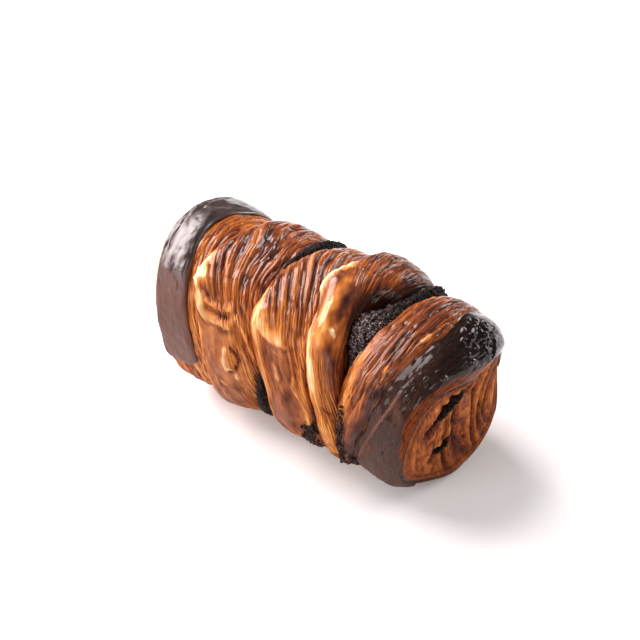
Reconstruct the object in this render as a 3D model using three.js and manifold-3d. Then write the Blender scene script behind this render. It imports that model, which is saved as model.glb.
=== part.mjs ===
// Chocolate hazelnut pastry: a small loaf of laminated dough, twisted, baked in a tin and glazed.
//
// The twist shows as six overlapping lobes of dough in one solid, each lapping over the one on its left.
// A band of cocoa dough runs over each end, and the chocolate hazelnut filling shows in the creases between
// the lobes and in two slits of the right end. Every band and filling lies in a groove of the dough.
//
// Frame: +X along the loaf to its right end, +Y to the back, +Z up, origin under the middle of the loaf on
// the surface that it stands on. Lengths are millimetres. A "turn" is an angle in degrees round the loaf's
// long axis: 0 faces the front, 90 the top, 180 the back and 270 the base. A "lean" is an angle in degrees
// across a lobe's cap: -90 is its left edge, 0 its crest and 90 its right edge.
import * as THREE from "three";
import { ParametricGeometry } from "three/addons/geometries/ParametricGeometry.js";
import { mergeVertices } from "three/addons/utils/BufferGeometryUtils.js";
import Module from "manifold-3d";

// ---- Driving dimensions ----
const AXIS_HEIGHT = 31.4; // from the base to the loaf's long axis
const BASE_REACH = 34; // of the uncut lobes below the axis: what is under the base is cut flat
const DOME_POWER = 2.2; // superellipse power of the domed top
const TIN_POWER = 2.5; // and of the squarer part that the tin held
const MIDDLE = [-1.25, 0.31]; // of the shaped loaf: it is moved from here onto the origin
const GAP = 0.3; // left between the dough and what lies in its grooves
const MERGE = 1e-4; // vertices closer than this are one

const TURN_STEPS = 36; // grid steps round a lobe
const END_STEPS = 3; // grid steps from an end face's rim to its middle

// ---- Curves round the loaf ----
const radians = THREE.MathUtils.degToRad;

// A smooth closed curve through [turn, value] pairs: a cubic between each two, with the slope at a pair
// taken from its neighbours.
function around(...pairs) {
  const count = pairs.length;
  const at = (i) => {
    const laps = Math.floor(i / count);
    const [turn, value] = pairs[i - laps * count];
    return [turn + 360 * laps, value];
  };
  const slope = (i) => {
    const [a, b] = [at(i - 1), at(i + 1)];
    return (b[1] - a[1]) / (b[0] - a[0]);
  };
  return (turn) => {
    const local = THREE.MathUtils.euclideanModulo(turn - pairs[0][0], 360) + pairs[0][0];
    let i = 0;
    while (at(i + 1)[0] <= local) i += 1;
    const [a, b] = [at(i), at(i + 1)];
    const span = b[0] - a[0];
    const t = (local - a[0]) / span;
    return (
      (2 * t ** 3 - 3 * t ** 2 + 1) * a[1] +
      (t ** 3 - 2 * t ** 2 + t) * span * slope(i) +
      (3 * t ** 2 - 2 * t ** 3) * b[1] +
      (t ** 3 - t ** 2) * span * slope(i + 1)
    );
  };
}

// One value all the way round.
const all = (value) => () => value;

// The distance from the axis to a superellipse section: halfWidth to front and back, top upwards.
function sectionRadius(halfWidth, top, turn) {
  const across = Math.abs(Math.cos(radians(turn))) / halfWidth;
  const rise = Math.sin(radians(turn));
  const power = rise > 0 ? DOME_POWER : TIN_POWER;
  const up = Math.abs(rise) / (rise > 0 ? top : BASE_REACH);
  return (across ** power + up ** power) ** (-1 / power);
}

// 1 in the middle of a window and 0 at a distance of 1 or more from it.
function windowed(distance) {
  const d = Math.min(Math.abs(distance), 1);
  return (1 - d * d) ** 2;
}

// The shorter way round from one turn to another.
const turnFrom = (turn, middle) => THREE.MathUtils.euclideanModulo(turn - middle + 180, 360) - 180;

// ---- The lobes ----
// crest: where along the loaf the lobe is highest. left, right: how far its cap runs to each side.
// leftDrop, rightDrop: how far the cap falls to each side. halfWidth, top, swell: its section.
// faces: how far its left and right faces bulge at the axis. rows: grid rows across its cap.
// ruffles: ridges of laminated layers that run round the loaf, one on every second row. lumps: blisters
// and folds.
const LOBES = [
  {
    name: "left_end",
    rows: 12,
    crest: around([-90, -45], [-45, -46], [0, -49.5], [30, -55], [60, -60], [90, -61], [120, -59.5], [180, -54], [225, -48]),
    left: all(5),
    right: around([0, 20], [90, 25], [180, 22]),
    leftDrop: all(5),
    rightDrop: all(5.5),
    halfWidth: 32.5,
    top: 33,
    swell: around([-90, 0.97], [-50, 0.96], [0, 1], [90, 1], [135, 0.99], [180, 1]),
    faces: [3, 6],
    ruffles: [],
    lumps: [],
  },
  {
    name: "second",
    rows: 26,
    crest: around([-60, -24], [0, -27], [30, -31], [60, -37], [90, -35], [135, -30], [180, -27], [235, -25]),
    left: all(9),
    right: around([-90, 22], [-45, 16], [0, 19.5], [40, 25], [90, 24.5], [180, 25], [225, 21]),
    leftDrop: all(9),
    rightDrop: around([-90, 4], [-40, 9], [90, 9], [220, 9]),
    halfWidth: 34.5,
    top: 35.5,
    swell: around([-90, 0.97], [-50, 0.97], [0, 1], [90, 1], [125, 1.02], [180, 1]),
    faces: [6, 6],
    ruffles: [{ height: 0.9, lean: [-4, 62], turn: [82, 60] }],
    lumps: [
      { height: 2.4, lean: -48, turn: 47, wide: 4, long: 7 },
      { height: 1.8, lean: -22, turn: 33, wide: 4, long: 4 },
      { height: 1.4, lean: 14, turn: 8, wide: 3.5, long: 4.5 },
    ],
  },
  {
    name: "third",
    rows: 24,
    crest: around([-60, 6], [0, 4.5], [30, -3], [45, -8], [60, -9], [90, -8], [135, -2], [180, 1], [235, 4]),
    left: around([-90, 12], [-45, 9], [90, 9], [225, 9]),
    right: all(22),
    leftDrop: around([-90, 4], [-40, 9], [90, 9], [220, 9]),
    rightDrop: all(9),
    halfWidth: 36,
    top: 37,
    swell: around([-90, 0.97], [-50, 0.89], [0, 1], [90, 1], [180, 1], [225, 0.95]),
    faces: [6, 6],
    ruffles: [{ height: 0.8, lean: [4, 62], turn: [80, 52] }],
    lumps: [
      { height: 1.6, lean: -42, turn: 34, wide: 4, long: 8 },
      { height: 1.3, lean: 12, turn: 2, wide: 4, long: 9 },
    ],
  },
  {
    name: "fourth",
    rows: 18,
    crest: around([-60, 25], [0, 26], [30, 20], [45, 17], [70, 13], [90, 11], [135, 12], [180, 16], [235, 18]),
    left: around([0, 8], [90, 10], [180, 9]),
    right: around([0, 6], [45, 7.5], [92, 8.5], [112, 16], [130, 19], [180, 14]),
    leftDrop: all(10),
    rightDrop: around([0, 10], [75, 14], [105, 11], [180, 10]),
    halfWidth: 36.5,
    top: 38.5,
    swell: around([-90, 0.97], [-45, 0.86], [0, 0.98], [45, 1], [90, 1.01], [135, 1.1], [180, 1.02], [225, 0.95]),
    faces: [6, 8],
    ruffles: [{ height: 0.5, lean: [40, 60], turn: [112, 50] }],
    lumps: [
      { height: 2.4, lean: -36, turn: 86, wide: 5, long: 7 },
      { height: 1.6, lean: -14, turn: 58, wide: 4, long: 15 },
      { height: 1.8, lean: 10, turn: -30, wide: 5, long: 8 },
    ],
  },
  {
    name: "fifth",
    rows: 18,
    crest: around([-60, 29], [-30, 30], [0, 33], [20, 35.5], [54, 38.5], [72, 40.5], [90, 42], [135, 43], [180, 41], [235, 38]),
    left: around([-30, 9], [45, 12], [90, 14], [180, 11]),
    right: around([-30, 6.5], [38, 8], [90, 10.3], [180, 10]),
    leftDrop: all(9),
    rightDrop: all(6),
    halfWidth: 34.5,
    top: 36,
    swell: around([-90, 0.98], [-50, 0.94], [0, 1], [90, 1], [135, 1.05], [180, 1.01]),
    faces: [6, 2],
    ruffles: [{ height: 0.45, lean: [-10, 80], turn: [60, 95] }],
    lumps: [{ height: 1.0, lean: 30, turn: 10, wide: 3, long: 4 }],
  },
  {
    name: "right_end",
    rows: 18,
    crest: around([-90, 53.5], [-60, 47.5], [-30, 46], [0, 47], [30, 49], [60, 50], [90, 51.5], [135, 53], [180, 49.5], [225, 54]),
    left: around([-60, 17], [-30, 17], [0, 15], [90, 14], [180, 14]),
    right: around([-90, 6], [-45, 7], [0, 8.5], [45, 9], [90, 11], [135, 9], [180, 7], [225, 6]),
    leftDrop: all(5),
    rightDrop: around([-90, 5], [0, 4], [35, 5], [60, 11], [100, 15], [140, 9], [180, 3.5], [225, 4]),
    halfWidth: 32.5,
    top: 32.5,
    swell: around([-90, 0.98], [-50, 0.94], [0, 1], [90, 1], [120, 1.03], [180, 1.01]),
    faces: [6, -1],
    ruffles: [],
    lumps: [],
  },
];

// A lobe's own height above its smooth cap. row: how many grid rows from the cap's left edge.
function relief(lobe, row, lean, turn) {
  let height = 0;
  for (const r of lobe.ruffles) {
    const share = windowed((lean - r.lean[0]) / r.lean[1]) * windowed(turnFrom(turn, r.turn[0]) / r.turn[1]);
    height += r.height * share * Math.cos(Math.PI * row) * (0.6 + 0.6 * Math.sin(2.3 * row + radians(2 * turn)));
  }
  const reach = (side) => (side < 0 ? lobe.left(turn) : lobe.right(turn)) * Math.sin(radians(side));
  for (const b of lobe.lumps) {
    const aside = (reach(lean) - reach(b.lean)) / b.wide;
    const along = (radians(turnFrom(turn, b.turn)) * lobe.top) / b.long;
    height += b.height * Math.exp(-(aside ** 2) - along ** 2);
  }
  return height * Math.cos(radians(lean)) ** 0.25;
}

// A point in the plane of one turn, given along the loaf and as a distance from the axis.
function place(x, radius, turn, target) {
  const a = radians(turn);
  return target.set(x, -radius * Math.cos(a), AXIS_HEIGHT + radius * Math.sin(a));
}

// A point on a lobe's cap, lifted off it. The cap is half an ellipse across the lobe: from the crest it
// runs aside by sin(lean) times its reach, and falls by 1 - cos(lean) times its drop.
function capPoint(lobe, lean, turn, lift) {
  const reach = lean < 0 ? lobe.left(turn) : lobe.right(turn);
  const drop = lean < 0 ? lobe.leftDrop(turn) : lobe.rightDrop(turn);
  const rim = sectionRadius(lobe.halfWidth, lobe.top, turn) * lobe.swell(turn);
  const [s, c] = [Math.sin(radians(lean)), Math.cos(radians(lean))];
  const steep = Math.hypot(s / reach, c / drop);
  return {
    x: lobe.crest(turn) + reach * s + (lift * s) / reach / steep,
    radius: rim - drop * (1 - c) + (lift * c) / drop / steep,
  };
}

// How far along the loaf a lobe's face lies. side: -1 for its left face, 1 for its right. share: how far out
// the point is, from 0 in the middle of the face to 1 on its rim.
function faceX(lobe, side, share, turn) {
  const middle = [0, 90, 180, 270].reduce((sum, quarter) => sum + lobe.crest(quarter) / 4, 0);
  const bulge = side < 0 ? -lobe.left(0) - lobe.faces[0] : lobe.right(0) + lobe.faces[1];
  const rim = capPoint(lobe, 90 * side, turn, 0).x;
  return middle + bulge + (rim - middle - bulge) * share ** 2.5;
}

// A lobe as a closed surface: the middle of its left face, out to the cap, over it, and in to the middle
// of its right face.
function lobeSurface(lobe, leftSteps, rightSteps) {
  const steps = leftSteps + lobe.rows + rightSteps;
  const surface = (u, v, target) => {
    const turn = 360 * v;
    const i = Math.round(u * steps);
    const row = THREE.MathUtils.clamp(i - leftSteps, 0, lobe.rows);
    const lean = (row / lobe.rows) * 180 - 90;
    const cap = capPoint(lobe, lean, turn, relief(lobe, row, lean, turn));
    if (Math.abs(lean) < 90) return place(cap.x, cap.radius, turn, target);
    const share = lean < 0 ? i / leftSteps : (steps - i) / rightSteps;
    return place(faceX(lobe, Math.sign(lean), share, turn), share * cap.radius, turn, target);
  };
  return new ParametricGeometry(surface, steps, TURN_STEPS);
}

// ---- The end faces ----
// A roll lies on a lobe's face, from one point to another, each [back, up] from the axis. wide is half its
// width, deep is how far it reaches into the face and out of it, sunk is how far its middle lies under the
// face, and bow is how far it bends aside. grow fattens it, for the groove that it lies in.
function rollSurface({ lobe, side, from, to, wide, deep, sunk, bow }, grow = 0) {
  const along = new THREE.Vector2().fromArray(to).sub(new THREE.Vector2().fromArray(from));
  const half = along.length() / 2 + grow;
  along.normalize();
  const surface = (u, v, target) => {
    const t = 2 * v - 1;
    const taper = Math.sqrt(Math.max(0, 1 - Math.abs(t) ** 3));
    const spot = (aside) => [
      (from[0] + to[0]) / 2 + along.x * half * t - along.y * aside,
      (from[1] + to[1]) / 2 + along.y * half * t + along.x * aside,
    ];
    const [back, up] = spot(bow * (1 - t * t));
    const turn = THREE.MathUtils.radToDeg(Math.atan2(up, -back));
    const share = Math.min(1, Math.hypot(back, up) / capPoint(lobe, 90 * side, turn, 0).radius);
    const middle = faceX(lobe, side, share, turn) - side * sunk;
    const [y, z] = spot(bow * (1 - t * t) + (wide + grow) * taper * Math.cos(2 * Math.PI * u));
    return target.set(middle + (deep + grow) * taper * Math.sin(2 * Math.PI * u), y, AXIS_HEIGHT + z);
  };
  return new ParametricGeometry(surface, 8, 6);
}

// The folded layers show in each end face as rolls of dough that fan out downwards. tops, feet: where the
// first and the last roll start and end.
const lobeNamed = (name) => LOBES.find((lobe) => lobe.name === name);
const ROLL = { wide: 5.2, deep: 3.7, sunk: 1.9 };
const FANS = [
  { ...ROLL, lobe: lobeNamed("right_end"), side: 1, count: 7, tops: [[-25, 17], [25, 5]], feet: [[-17, -27], [19, -24]], bow: 2 },
  { ...ROLL, lobe: lobeNamed("left_end"), side: -1, count: 6, tops: [[-20, 19], [21, 16]], feet: [[-18, -25], [17, -24]], bow: -2 },
];

function fanRolls({ count, tops, feet, ...roll }) {
  const between = ([a, b], share) => [0, 1].map((axis) => THREE.MathUtils.lerp(a[axis], b[axis], share));
  return Array.from({ length: count }, (_, k) => {
    const share = k / (count - 1);
    const uneven = Math.sin(5 * k);
    const from = between(tops, share);
    from[1] += 2.5 * uneven;
    const wide = roll.wide * (1 + 0.12 * uneven);
    return rollSurface({ ...roll, from, to: between(feet, share), wide, sunk: roll.sunk + 0.4 * Math.cos(7 * k) });
  });
}

// ---- What lies in the dough's grooves ----
// Each is a strip that runs round the loaf from one turn to another and closes to a point at both ends.
// grow fattens it, for the groove that it lies in.
function stripSurface(strip, grow = 0) {
  const [from, to] = strip.turns;
  const extra = THREE.MathUtils.radToDeg(grow / AXIS_HEIGHT) * 2;
  const surface = (u, v, target) => {
    const turn = from - extra + v * (to - from + 2 * extra);
    const taper = Math.sqrt(Math.max(0, 1 - Math.abs(2 * v - 1) ** strip.blunt));
    const { x, radius } = strip.point(turn, u, taper, grow);
    return place(x, radius, turn, target);
  };
  return new ParametricGeometry(surface, ...strip.steps);
}

// A band of cocoa dough laid over a lobe's cap, between two leans, from below the skin to above it.
function cocoaBand({ lobe, turns, steps, leans, under, over }) {
  return {
    turns,
    steps,
    blunt: 8,
    point(turn, u, taper, grow) {
      const across = steps[0] / 2 - 1;
      const i = Math.round(u * steps[0]) % steps[0];
      const out = i <= across ? 1 : -1;
      const aside = out * ((2 * (out > 0 ? i : i - across - 1)) / across - 1);
      const [low, high] = [leans[0](turn), leans[1](turn)];
      const reach = (lobe.left(turn) + lobe.right(turn)) / 2;
      const half = (high - low) / 2 + THREE.MathUtils.radToDeg(grow / reach);
      const lean = THREE.MathUtils.clamp((low + high) / 2 + half * aside * taper, -89, 89);
      const middle = (over(turn) - under) / 2;
      const lift = middle + ((over(turn) + under) / 2 + grow) * out * taper;
      return capPoint(lobe, lean, turn, lift);
    },
  };
}

// Filling pressed out of a crease: a bent, tapered roll with a crumbly surface.
function filling({ turns, steps, x, radius, halfWidth, halfDepth, crumb }) {
  return {
    turns,
    steps,
    blunt: 2,
    point(turn, u, taper, grow) {
      const [aside, out] = [-Math.cos(2 * Math.PI * u), Math.sin(2 * Math.PI * u)];
      const grain = Math.sin(radians(turn * 23) + 5 * aside) * Math.sin(9 * aside + radians(turn * 11));
      const swell = (grow > 0 ? grow + crumb : crumb * grain) * Math.min(1, 3 * taper);
      return {
        x: x(turn) + (halfWidth(turn) * taper + swell) * aside,
        radius: radius(turn) + (halfDepth(turn) * taper + swell) * out,
      };
    },
  };
}

const BANDS = {
  cocoa_band_left: cocoaBand({
    lobe: lobeNamed("left_end"),
    turns: [-40, 218],
    steps: [14, 20],
    leans: [all(-75), around([-30, 46], [0, 44], [50, 31], [90, 20], [117, 27], [180, 34], [225, 44])],
    under: 1.6,
    over: all(1.1),
  }),
  cocoa_band_right: cocoaBand({
    lobe: lobeNamed("right_end"),
    turns: [-62, 186],
    steps: [20, 20],
    leans: [around([-60, -72], [0, -42], [90, -30], [180, -50]), around([-60, 74], [0, 82], [60, 86], [180, 84])],
    under: 1.8,
    over: around([-60, 0.3], [0, 0.4], [90, 0.6], [120, 1.8], [150, 1.2], [200, 0.4]),
  }),
};

const FILLINGS = {
  filling_main: filling({
    turns: [-62, 176],
    steps: [10, 22],
    x: around([-60, 26], [-30, 27], [0, 29], [40, 28.5], [75, 24.5], [95, 27.5], [135, 31], [180, 29]),
    radius: around([-60, 23], [0, 25], [60, 26.5], [95, 27.5], [140, 32], [180, 26]),
    halfWidth: around([-60, 2.4], [0, 2], [40, 3.4], [75, 7], [98, 4.8], [140, 3.6], [180, 2.4]),
    halfDepth: around([-60, 6.5], [0, 6], [75, 6], [100, 7], [140, 8], [180, 7]),
    crumb: 0.5,
  }),
  filling_top: filling({
    turns: [64, 205],
    steps: [8, 16],
    x: around([60, -17.5], [90, -15.5], [135, -12.5], [180, -11]),
    radius: around([70, 27.5], [90, 29], [135, 30], [180, 27]),
    halfWidth: around([60, 1.8], [90, 3], [135, 3], [180, 2.4]),
    halfDepth: all(6.5),
    crumb: 0.2,
  }),
  filling_front: filling({
    turns: [-62, 16],
    steps: [8, 12],
    x: around([-60, -8.2], [0, -7], [90, -12]),
    radius: all(26.4),
    halfWidth: all(3),
    halfDepth: all(6.5),
    crumb: 0.2,
  }),
  filling_foot: filling({
    turns: [-70, -6],
    steps: [8, 12],
    x: around([-60, 14.5], [-30, 16], [0, 18.5]),
    radius: around([-60, 27.5], [-30, 27.5], [0, 27]),
    halfWidth: all(3.4),
    halfDepth: all(6.2),
    crumb: 0.4,
  }),
};

// The filling that shows in two slits of the right end.
const SLIT = { lobe: lobeNamed("right_end"), side: 1, sunk: 6 };
const SLITS = {
  filling_face_upper: { ...SLIT, from: [5, 10], to: [-17, 5], wide: 1.6, deep: 8.6, bow: -2 },
  filling_face_lower: { ...SLIT, from: [-2, -10], to: [-13, -13], wide: 1, deep: 7.6, bow: 0 },
};

// ---- Solids ----
const wasm = await Module();
wasm.setup();

// A closed three.js surface as a solid: shared vertices merged, and faces that closed to a line dropped.
function solid(geometry) {
  const bare = new THREE.BufferGeometry();
  bare.setAttribute("position", geometry.getAttribute("position"));
  bare.setIndex(geometry.getIndex());
  const merged = mergeVertices(bare, MERGE);
  const index = merged.getIndex().array;
  const kept = [];
  for (let i = 0; i < index.length; i += 3) {
    const [a, b, c] = index.subarray(i, i + 3);
    if (a !== b && b !== c && c !== a) kept.push(a, b, c);
  }
  const vertProperties = merged.getAttribute("position").array;
  return new wasm.Manifold(new wasm.Mesh({ numProp: 3, vertProperties, triVerts: Uint32Array.from(kept) }));
}

// A solid back as a three.js geometry.
function geometryOf(made) {
  const { vertProperties, triVerts } = made.getMesh();
  const geometry = new THREE.BufferGeometry();
  geometry.setAttribute("position", new THREE.BufferAttribute(vertProperties, 3));
  geometry.setIndex(new THREE.BufferAttribute(triVerts, 1));
  geometry.computeVertexNormals();
  return geometry;
}

// Everything above the surface that the loaf stands on.
function aboveBase() {
  const room = new THREE.BoxGeometry(200, 120, 120);
  room.translate(0, 0, 60);
  return solid(room);
}

const room = aboveBase();
const laid = {};
const grooves = [];
for (const [name, strip] of Object.entries({ ...BANDS, ...FILLINGS })) {
  laid[name] = solid(stripSurface(strip)).intersect(room);
  grooves.push(solid(stripSurface(strip, GAP)));
}
for (const [name, slit] of Object.entries(SLITS)) {
  laid[name] = solid(rollSurface(slit));
  grooves.push(solid(rollSurface(slit, GAP)));
}

const lobes = LOBES.map((lobe, i) => {
  const leftSteps = i === 0 ? END_STEPS : 1;
  const rightSteps = i === LOBES.length - 1 ? END_STEPS : 1;
  return solid(lobeSurface(lobe, leftSteps, rightSteps));
});
const rolls = FANS.flatMap(fanRolls).map(solid);
const twist = [...lobes, ...rolls].reduce((sum, part) => sum.add(part));

// The grooves cut crumbs loose: the dough is the largest piece that is left.
const cut = grooves.reduce((left, groove) => left.subtract(groove), twist).intersect(room);
const dough = cut.decompose().reduce((largest, piece) => (piece.volume() > largest.volume() ? piece : largest));

// ---- The pastry ----
const finishes = {
  dough: new THREE.MeshStandardMaterial({ color: 0xa8592a, roughness: 0.45, metalness: 0 }),
  cocoa: new THREE.MeshStandardMaterial({ color: 0x33201c, roughness: 0.35, metalness: 0 }),
  filling: new THREE.MeshStandardMaterial({ color: 0x20130f, roughness: 0.6, metalness: 0 }),
};

const pastry = new THREE.Group();

function addPiece(name, made, finish) {
  const mesh = new THREE.Mesh(geometryOf(made.translate([-MIDDLE[0], -MIDDLE[1], 0])), finish);
  mesh.name = name;
  pastry.add(mesh);
}

addPiece("dough", dough, finishes.dough);
for (const [name, made] of Object.entries(laid)) {
  addPiece(name, made, name.startsWith("cocoa") ? finishes.cocoa : finishes.filling);
}

export default pastry;
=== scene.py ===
# %% [markdown]
# # Chocolate hazelnut pastry
#
# The real thing is a small loaf of laminated dough: paper-thin sheets of dough with butter between them,
# spread with chocolate hazelnut paste, twisted, and baked in a small tin. A twist shows as lobes that lap
# over each other, so this model is built lobe by lobe.
#
# Three things could make such a shape. Sculpting gives folds quickly, but nobody can repeat it or move one
# fold. A cloth simulation gives soft folds, but not layers that are as thin as paper. Here every surface is a
# formula: a grid of points worked out by numpy from a few named sizes, so any fold can be read and changed.
#
# Lengths are millimetres until a mesh is made. A *turn* is an angle in degrees round the loaf's long axis:
# 0 faces the front, 90 the top, 180 the back and 270 the base. A *lean* is an angle in degrees across a
# lobe's cap: -90 is its left edge, 0 its crest and 90 its right edge.

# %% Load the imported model
from types import SimpleNamespace

import bpy
import numpy as np
from mathutils import Matrix, Vector


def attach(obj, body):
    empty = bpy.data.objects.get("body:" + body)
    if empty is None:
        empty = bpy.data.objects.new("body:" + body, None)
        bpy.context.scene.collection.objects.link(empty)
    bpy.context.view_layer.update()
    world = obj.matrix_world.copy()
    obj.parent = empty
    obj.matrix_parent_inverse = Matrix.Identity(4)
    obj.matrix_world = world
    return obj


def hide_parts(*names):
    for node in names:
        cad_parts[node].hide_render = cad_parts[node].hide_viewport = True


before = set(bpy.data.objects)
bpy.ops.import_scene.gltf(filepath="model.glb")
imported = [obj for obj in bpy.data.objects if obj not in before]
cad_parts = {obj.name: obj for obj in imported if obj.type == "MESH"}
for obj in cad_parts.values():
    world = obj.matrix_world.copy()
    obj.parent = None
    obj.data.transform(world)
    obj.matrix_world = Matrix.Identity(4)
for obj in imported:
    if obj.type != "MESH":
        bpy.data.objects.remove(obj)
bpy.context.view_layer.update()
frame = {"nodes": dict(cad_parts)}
print("solids:", ", ".join(frame["nodes"]))

# %% [markdown]
# ## Camera
#
# The photograph looks down on the loaf from the front right, through a long lens, so that near and far lobes
# are nearly the same size. A camera on a *back vector*, which points from the loaf to the lens, keeps that
# view easy to change: one angle round the loaf, one above the table, one distance. A camera that tracks an
# empty would do too, but the lamps are placed in the same way, and one function serves both.

# %% Camera
TARGET = Vector((0.00125, -0.00031, 0.034))
VIEW = (37.0, 44.0, 0.7)  # azimuth and elevation in degrees, distance in m


def looking_at_loaf(azimuth, elevation, distance):
    """The placement of a camera or lamp that looks at the target from an azimuth (0 front, 90 right), an
    elevation above the table and a distance: its own Z axis lies along the back vector."""
    a, e = np.radians([azimuth, elevation])
    back = Vector((np.sin(a) * np.cos(e), -np.cos(a) * np.cos(e), np.sin(e)))
    return Matrix.Translation(TARGET + back * distance) @ back.to_track_quat("Z", "Y").to_matrix().to_4x4()


camera = bpy.data.objects.new("camera", bpy.data.cameras.new("camera"))
bpy.context.scene.collection.objects.link(camera)
camera.matrix_world = looking_at_loaf(*VIEW)
camera.data.sensor_width, camera.data.lens = 36, 106.3  # mm, for a view 19 degrees wide
camera.data.shift_x, camera.data.shift_y = -0.0103, 0.0328  # slides the picture without turning the view
camera.data.clip_start = 0.05
bpy.context.scene.camera = camera
print("camera", round(VIEW[2] * 1000), "mm from the loaf")

# %% [markdown]
# ## Curves round the loaf
#
# The crest of a lobe wanders as it runs round the loaf, and its cap is wide in one place and narrow in
# another. Each such size is a smooth closed curve through a few pairs of turn and value. A spline object
# could hold them too, but a function that takes whole arrays of turns is what the grids below need.

# %% Smooth closed curves
def around(*pairs):
    """A smooth closed curve through (turn, value) pairs: a cubic between each two, whose slope at a pair is
    the slope between its two neighbours."""
    turns, values = np.array(pairs, float).T
    order = np.arange(-2, len(turns) + 3)
    t = turns[order % len(turns)] + 360 * (order // len(turns))
    v = values[order % len(turns)]
    slope = (v[2:] - v[:-2]) / (t[2:] - t[:-2])
    t, v = t[1:-1], v[1:-1]

    def curve(turn):
        local = np.mod(np.asarray(turn, float) - turns[0], 360) + turns[0]
        i = np.searchsorted(t, local, side="right") - 1
        span = t[i + 1] - t[i]
        s = (local - t[i]) / span
        rise = (3 * s**2 - 2 * s**3) * (v[i + 1] - v[i])
        return v[i] + rise + span * ((s**3 - 2 * s**2 + s) * slope[i] + (s**3 - s**2) * slope[i + 1])

    return curve


def always(value):
    """The same value all the way round."""
    return lambda turn: np.full(np.shape(turn), float(value))


print("half way between 0 and 10:", around((0, 0), (90, 10), (180, 0), (270, -10))(45))

# %% [markdown]
# ## The lobes' sizes
#
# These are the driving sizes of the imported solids, repeated here because the script reads only the frame:
# where along the loaf each crest lies, how far the cap runs and falls to each side, and the section's half
# width and height. The visible surface has to lie where the solid lies, so both start from the same numbers.

# %% Sizes of the six lobes
AXIS_HEIGHT = 31.4  # mm from the table up to the loaf's long axis
BASE_REACH = 34.0  # mm from the axis down to the lowest line of a section, before the table cuts it
DOME_POWER, TIN_POWER = 2.2, 2.5  # of the superellipse, above the axis and below it
MIDDLE = np.array([-1.25, 0.31, 0.0])  # mm, taken off every point so that the loaf lies over the origin

# In mm, and at each turn: crest: x of the crest. left, right: how far the cap reaches to each side of it.
# left_drop, right_drop: how far the cap falls there. swell: factor on the distance from the axis. For the
# whole lobe: half_width and top of its section, and how far its two faces bulge.
LOBES = {
    "left_end": SimpleNamespace(
        crest=around(
            (-90, -45), (-45, -46), (0, -49.5), (30, -55), (60, -60), (90, -61), (120, -59.5), (180, -54),
            (225, -48),
        ),
        left=always(5), right=around((0, 20), (90, 25), (180, 22)), left_drop=always(5),
        right_drop=always(5.5), half_width=32.5, top=33,
        swell=around((-90, 0.97), (-50, 0.96), (0, 1), (90, 1), (135, 0.99), (180, 1)), faces=(3, 6),
    ),
    "second": SimpleNamespace(
        crest=around(
            (-60, -24), (0, -27), (30, -31), (60, -37), (90, -35), (135, -30), (180, -27), (235, -25),
        ),
        left=always(9),
        right=around((-90, 22), (-45, 16), (0, 19.5), (40, 25), (90, 24.5), (180, 25), (225, 21)),
        left_drop=always(9), right_drop=around((-90, 4), (-40, 9), (90, 9), (220, 9)), half_width=34.5,
        top=35.5, swell=around((-90, 0.97), (-50, 0.97), (0, 1), (90, 1), (125, 1.02), (180, 1)),
        faces=(6, 6),
    ),
    "third": SimpleNamespace(
        crest=around(
            (-60, 6), (0, 4.5), (30, -3), (45, -8), (60, -9), (90, -8), (135, -2), (180, 1), (235, 4),
        ),
        left=around((-90, 12), (-45, 9), (90, 9), (225, 9)), right=always(22),
        left_drop=around((-90, 4), (-40, 9), (90, 9), (220, 9)), right_drop=always(9), half_width=36,
        top=37, swell=around((-90, 0.97), (-50, 0.89), (0, 1), (90, 1), (180, 1), (225, 0.95)),
        faces=(6, 6),
    ),
    "fourth": SimpleNamespace(
        crest=around(
            (-60, 25), (0, 26), (30, 20), (45, 17), (70, 13), (90, 11), (135, 12), (180, 16), (235, 18),
        ),
        left=around((0, 8), (90, 10), (180, 9)),
        right=around((0, 6), (45, 7.5), (92, 8.5), (112, 16), (130, 19), (180, 14)), left_drop=always(10),
        right_drop=around((0, 10), (75, 14), (105, 11), (180, 10)), half_width=36.5, top=38.5,
        swell=around(
            (-90, 0.97), (-45, 0.86), (0, 0.98), (45, 1), (90, 1.01), (135, 1.1), (180, 1.02), (225, 0.95),
        ),
        faces=(6, 8),
    ),
    "fifth": SimpleNamespace(
        crest=around(
            (-60, 29), (-30, 30), (0, 33), (20, 35.5), (54, 38.5), (72, 40.5), (90, 42), (135, 43),
            (180, 41), (235, 38),
        ),
        left=around((-30, 9), (45, 12), (90, 14), (180, 11)),
        right=around((-30, 6.5), (38, 8), (90, 10.3), (180, 10)), left_drop=always(9), right_drop=always(6),
        half_width=34.5, top=36,
        swell=around((-90, 0.98), (-50, 0.94), (0, 1), (90, 1), (135, 1.05), (180, 1.01)), faces=(6, 2),
    ),
    "right_end": SimpleNamespace(
        crest=around(
            (-90, 53.5), (-60, 47.5), (-30, 46), (0, 47), (30, 49), (60, 50), (90, 51.5), (135, 53),
            (180, 49.5), (225, 54),
        ),
        left=around((-60, 17), (-30, 17), (0, 15), (90, 14), (180, 14)),
        right=around((-90, 6), (-45, 7), (0, 8.5), (45, 9), (90, 11), (135, 9), (180, 7), (225, 6)),
        left_drop=always(5),
        right_drop=around((-90, 5), (0, 4), (35, 5), (60, 11), (100, 15), (140, 9), (180, 3.5), (225, 4)),
        half_width=32.5, top=32.5,
        swell=around((-90, 0.98), (-50, 0.94), (0, 1), (90, 1), (120, 1.03), (180, 1.01)), faces=(6, -1),
    ),
}
print(len(LOBES), "lobes")

# %% [markdown]
# ## A lobe's smooth shape
#
# Across the loaf a lobe is a superellipse, the rounded square that dough takes in a tin. Along the loaf its
# cap is half an ellipse. A UV sphere squeezed by hand would come close, but only a formula lets a band or a
# crumb be laid exactly on the same skin.

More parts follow.
